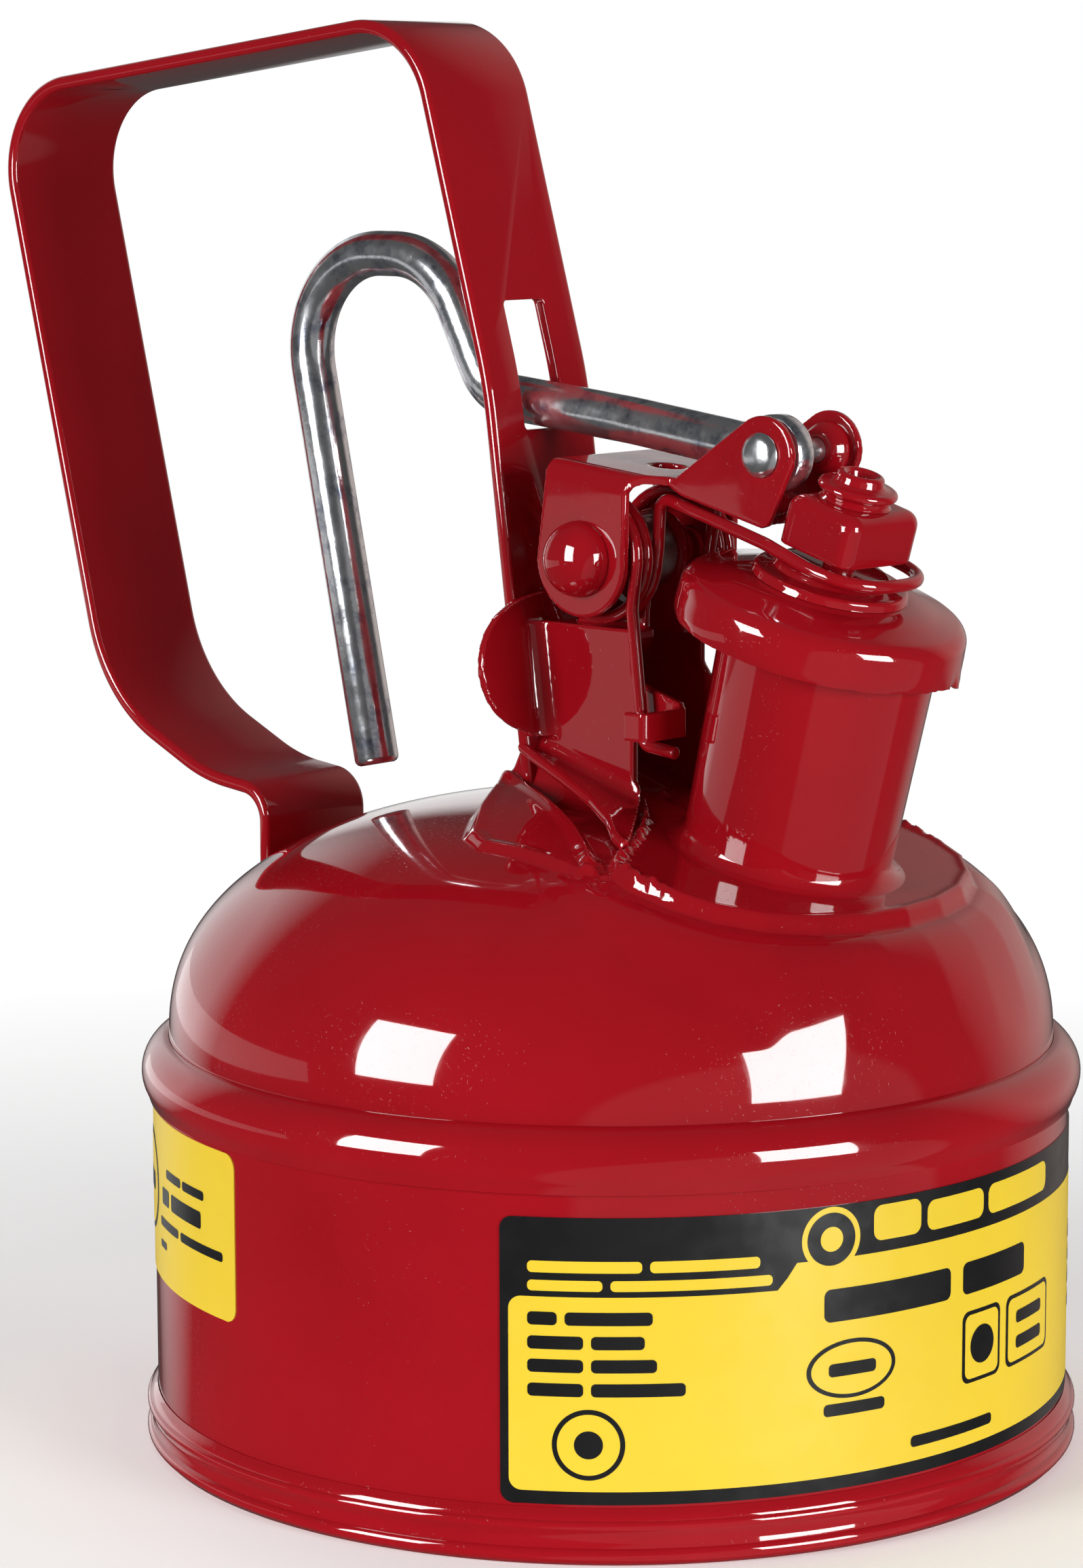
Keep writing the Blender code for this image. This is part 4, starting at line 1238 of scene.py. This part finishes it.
# What glossy surfaces see: (azimuth, elevation, cosines where a card starts and is full, colour)
CARDS = ((-146, 8, 0.88, 0.96, grey(0.75)),
         (138, 12, 0.80, 0.94, (0.42, 0.35, 0.32)),
         (180, 4, 0.982, 0.996, grey(0.85)),
         (38, -32, 0.66, 0.70, grey(0.17)))
SURROUND = grey(0.055)


def card_light(tree):
    """Sum of the cards and the dim surround, by direction."""
    where = coordinates(tree, "Generated")
    total = SURROUND
    for azimuth, elevation, start, full, colour in CARDS:
        facing = add_node(tree, "VectorMath")
        facing.operation = "DOT_PRODUCT"
        tree.links.new(where, facing.inputs[0])
        facing.inputs[1].default_value = studio_direction(azimuth, elevation)
        both = add_node(tree, "VectorMath")
        feed(tree, both.inputs[0], ramp(tree, facing.outputs["Value"], [(start, grey(0.0)), (full, colour)]))
        feed(tree, both.inputs[1], total)
        total = both.outputs["Vector"]
    return total


def studio_world():
    """White to the camera; for light and reflections, pale cards to the sides behind the can, else dim."""
    world = bpy.data.worlds.new("studio")
    bpy.context.scene.world = world
    world.use_nodes = True
    tree = world.node_tree
    tree.nodes.clear()
    fill = add_node(tree, "Background", Color=card_light(tree))
    seen = add_node(tree, "Background", Color=(1, 1, 1, 1))
    mix = add_node(tree, "MixShader", Fac=add_node(tree, "LightPath").outputs["Is Camera Ray"])
    tree.links.new(fill.outputs["Background"], mix.inputs[1])
    tree.links.new(seen.outputs["Background"], mix.inputs[2])
    add_node(tree, "OutputWorld", Surface=mix.outputs["Shader"])


def studio_floor():
    """Pale paper round the can that fades out into the white surround."""
    size = 0.7
    mesh = bpy.data.meshes.new("floor")
    corners = [(-size, -size, 0), (size, -size, 0), (size, size, 0), (-size, size, 0)]
    mesh.from_pydata(corners, [], [[0, 1, 2, 3]])
    floor = link("floor", mesh)
    white = (1, 1, 1, 1)
    made, tree, shader = shader_of("floor_paper", Roughness=0.9, Emission_Color=white, Emission_Strength=0.3)
    set_colour(tree, shader, noise_of(tree, 3.0), [(0.3, grey(0.86)), (0.7, grey(0.88))])
    length = add_node(tree, "VectorMath")
    length.operation = "LENGTH"
    tree.links.new(coordinates(tree), length.inputs[0])
    fade = ramp(tree, length.outputs["Value"], [(0.10, grey(1.0)), (0.30, grey(0.0))])
    tree.links.new(fade, shader.inputs["Alpha"])
    mesh.materials.append(made)
    floor.visible_glossy = False


def soft_box(name, azimuth, elevation, distance, width, tall, radiance):
    """Area light aimed at the can, with its distance and size in metres."""
    aim = Vector((AXIS_X, 0.0, 0.08))
    light = bpy.data.lights.new(name, "AREA")
    light.shape = "RECTANGLE"
    light.size = width
    light.size_y = tall
    light.energy = radiance * pi * width * tall
    made = link(name, light)
    made.location = aim + studio_direction(azimuth, elevation) * distance
    made.rotation_euler = (aim - made.location).to_track_quat("-Z", "Y").to_euler()
    made.visible_camera = False
    return made


def studio_camera():
    """Camera at the photographed angle: 42.4 degrees round from the can's side, looking 8.7 down."""
    data = bpy.data.cameras.new("camera")
    data.sensor_fit = "VERTICAL"
    data.sensor_height = SENSOR
    data.lens = CAMERA_LENS
    camera = link("camera", data)
    right, before, above = CAMERA_PLACE
    spot = TO_FRAME @ (VIEW_RIGHT * right - VIEW_AWAY * before + Vector((0.0, 0.0, above)))
    turned = Matrix.Rotation(HEADING, 4, "Z") @ Matrix.Rotation(pi / 2 - CAMERA_PITCH, 4, "X")
    camera.matrix_world = Matrix.Translation(spot) @ turned @ Matrix.Rotation(CAMERA_ROLL, 4, "Z")
    bpy.context.scene.camera = camera


def studio():
    """Surround, floor, lights and camera. A key's glint is its mirror image alone, as the gloss shows it."""
    bpy.context.scene.view_settings.view_transform = "Standard"
    studio_world()
    studio_floor()
    for side, (azimuth, elevation, width, tall) in KEYS.items():
        soft_box("key_" + side, azimuth, elevation, 0.85, width, tall, 9.5)
        glint = soft_box("glint_" + side, azimuth, elevation, 0.84, width, tall, 6.5)
        glint.visible_diffuse = False
    soft_box("low_strip", -117, -6, 0.6, 0.9, 0.1, 0.42)
    overhead = soft_box("overhead", 180, 75, 0.95, 0.9, 0.5, 1.8)
    overhead.visible_glossy = False
    studio_camera()


def carried_over():
    """Materials for the CAD nodes that show as they are."""
    for name, material in (("flame_screen", SCREEN), ("cap_gasket", SEAL)):
        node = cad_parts[name]
        node.data.materials.clear()
        node.data.materials.append(material)


def main():
    """Build every piece, then the studio."""
    for make in (can_body, spout, cap_shell, cap_button, cap_rivet, saddle, lever, pins, strap, bracket,
                 spring, rod, front_label, side_label, carried_over, studio):
        make()


main()
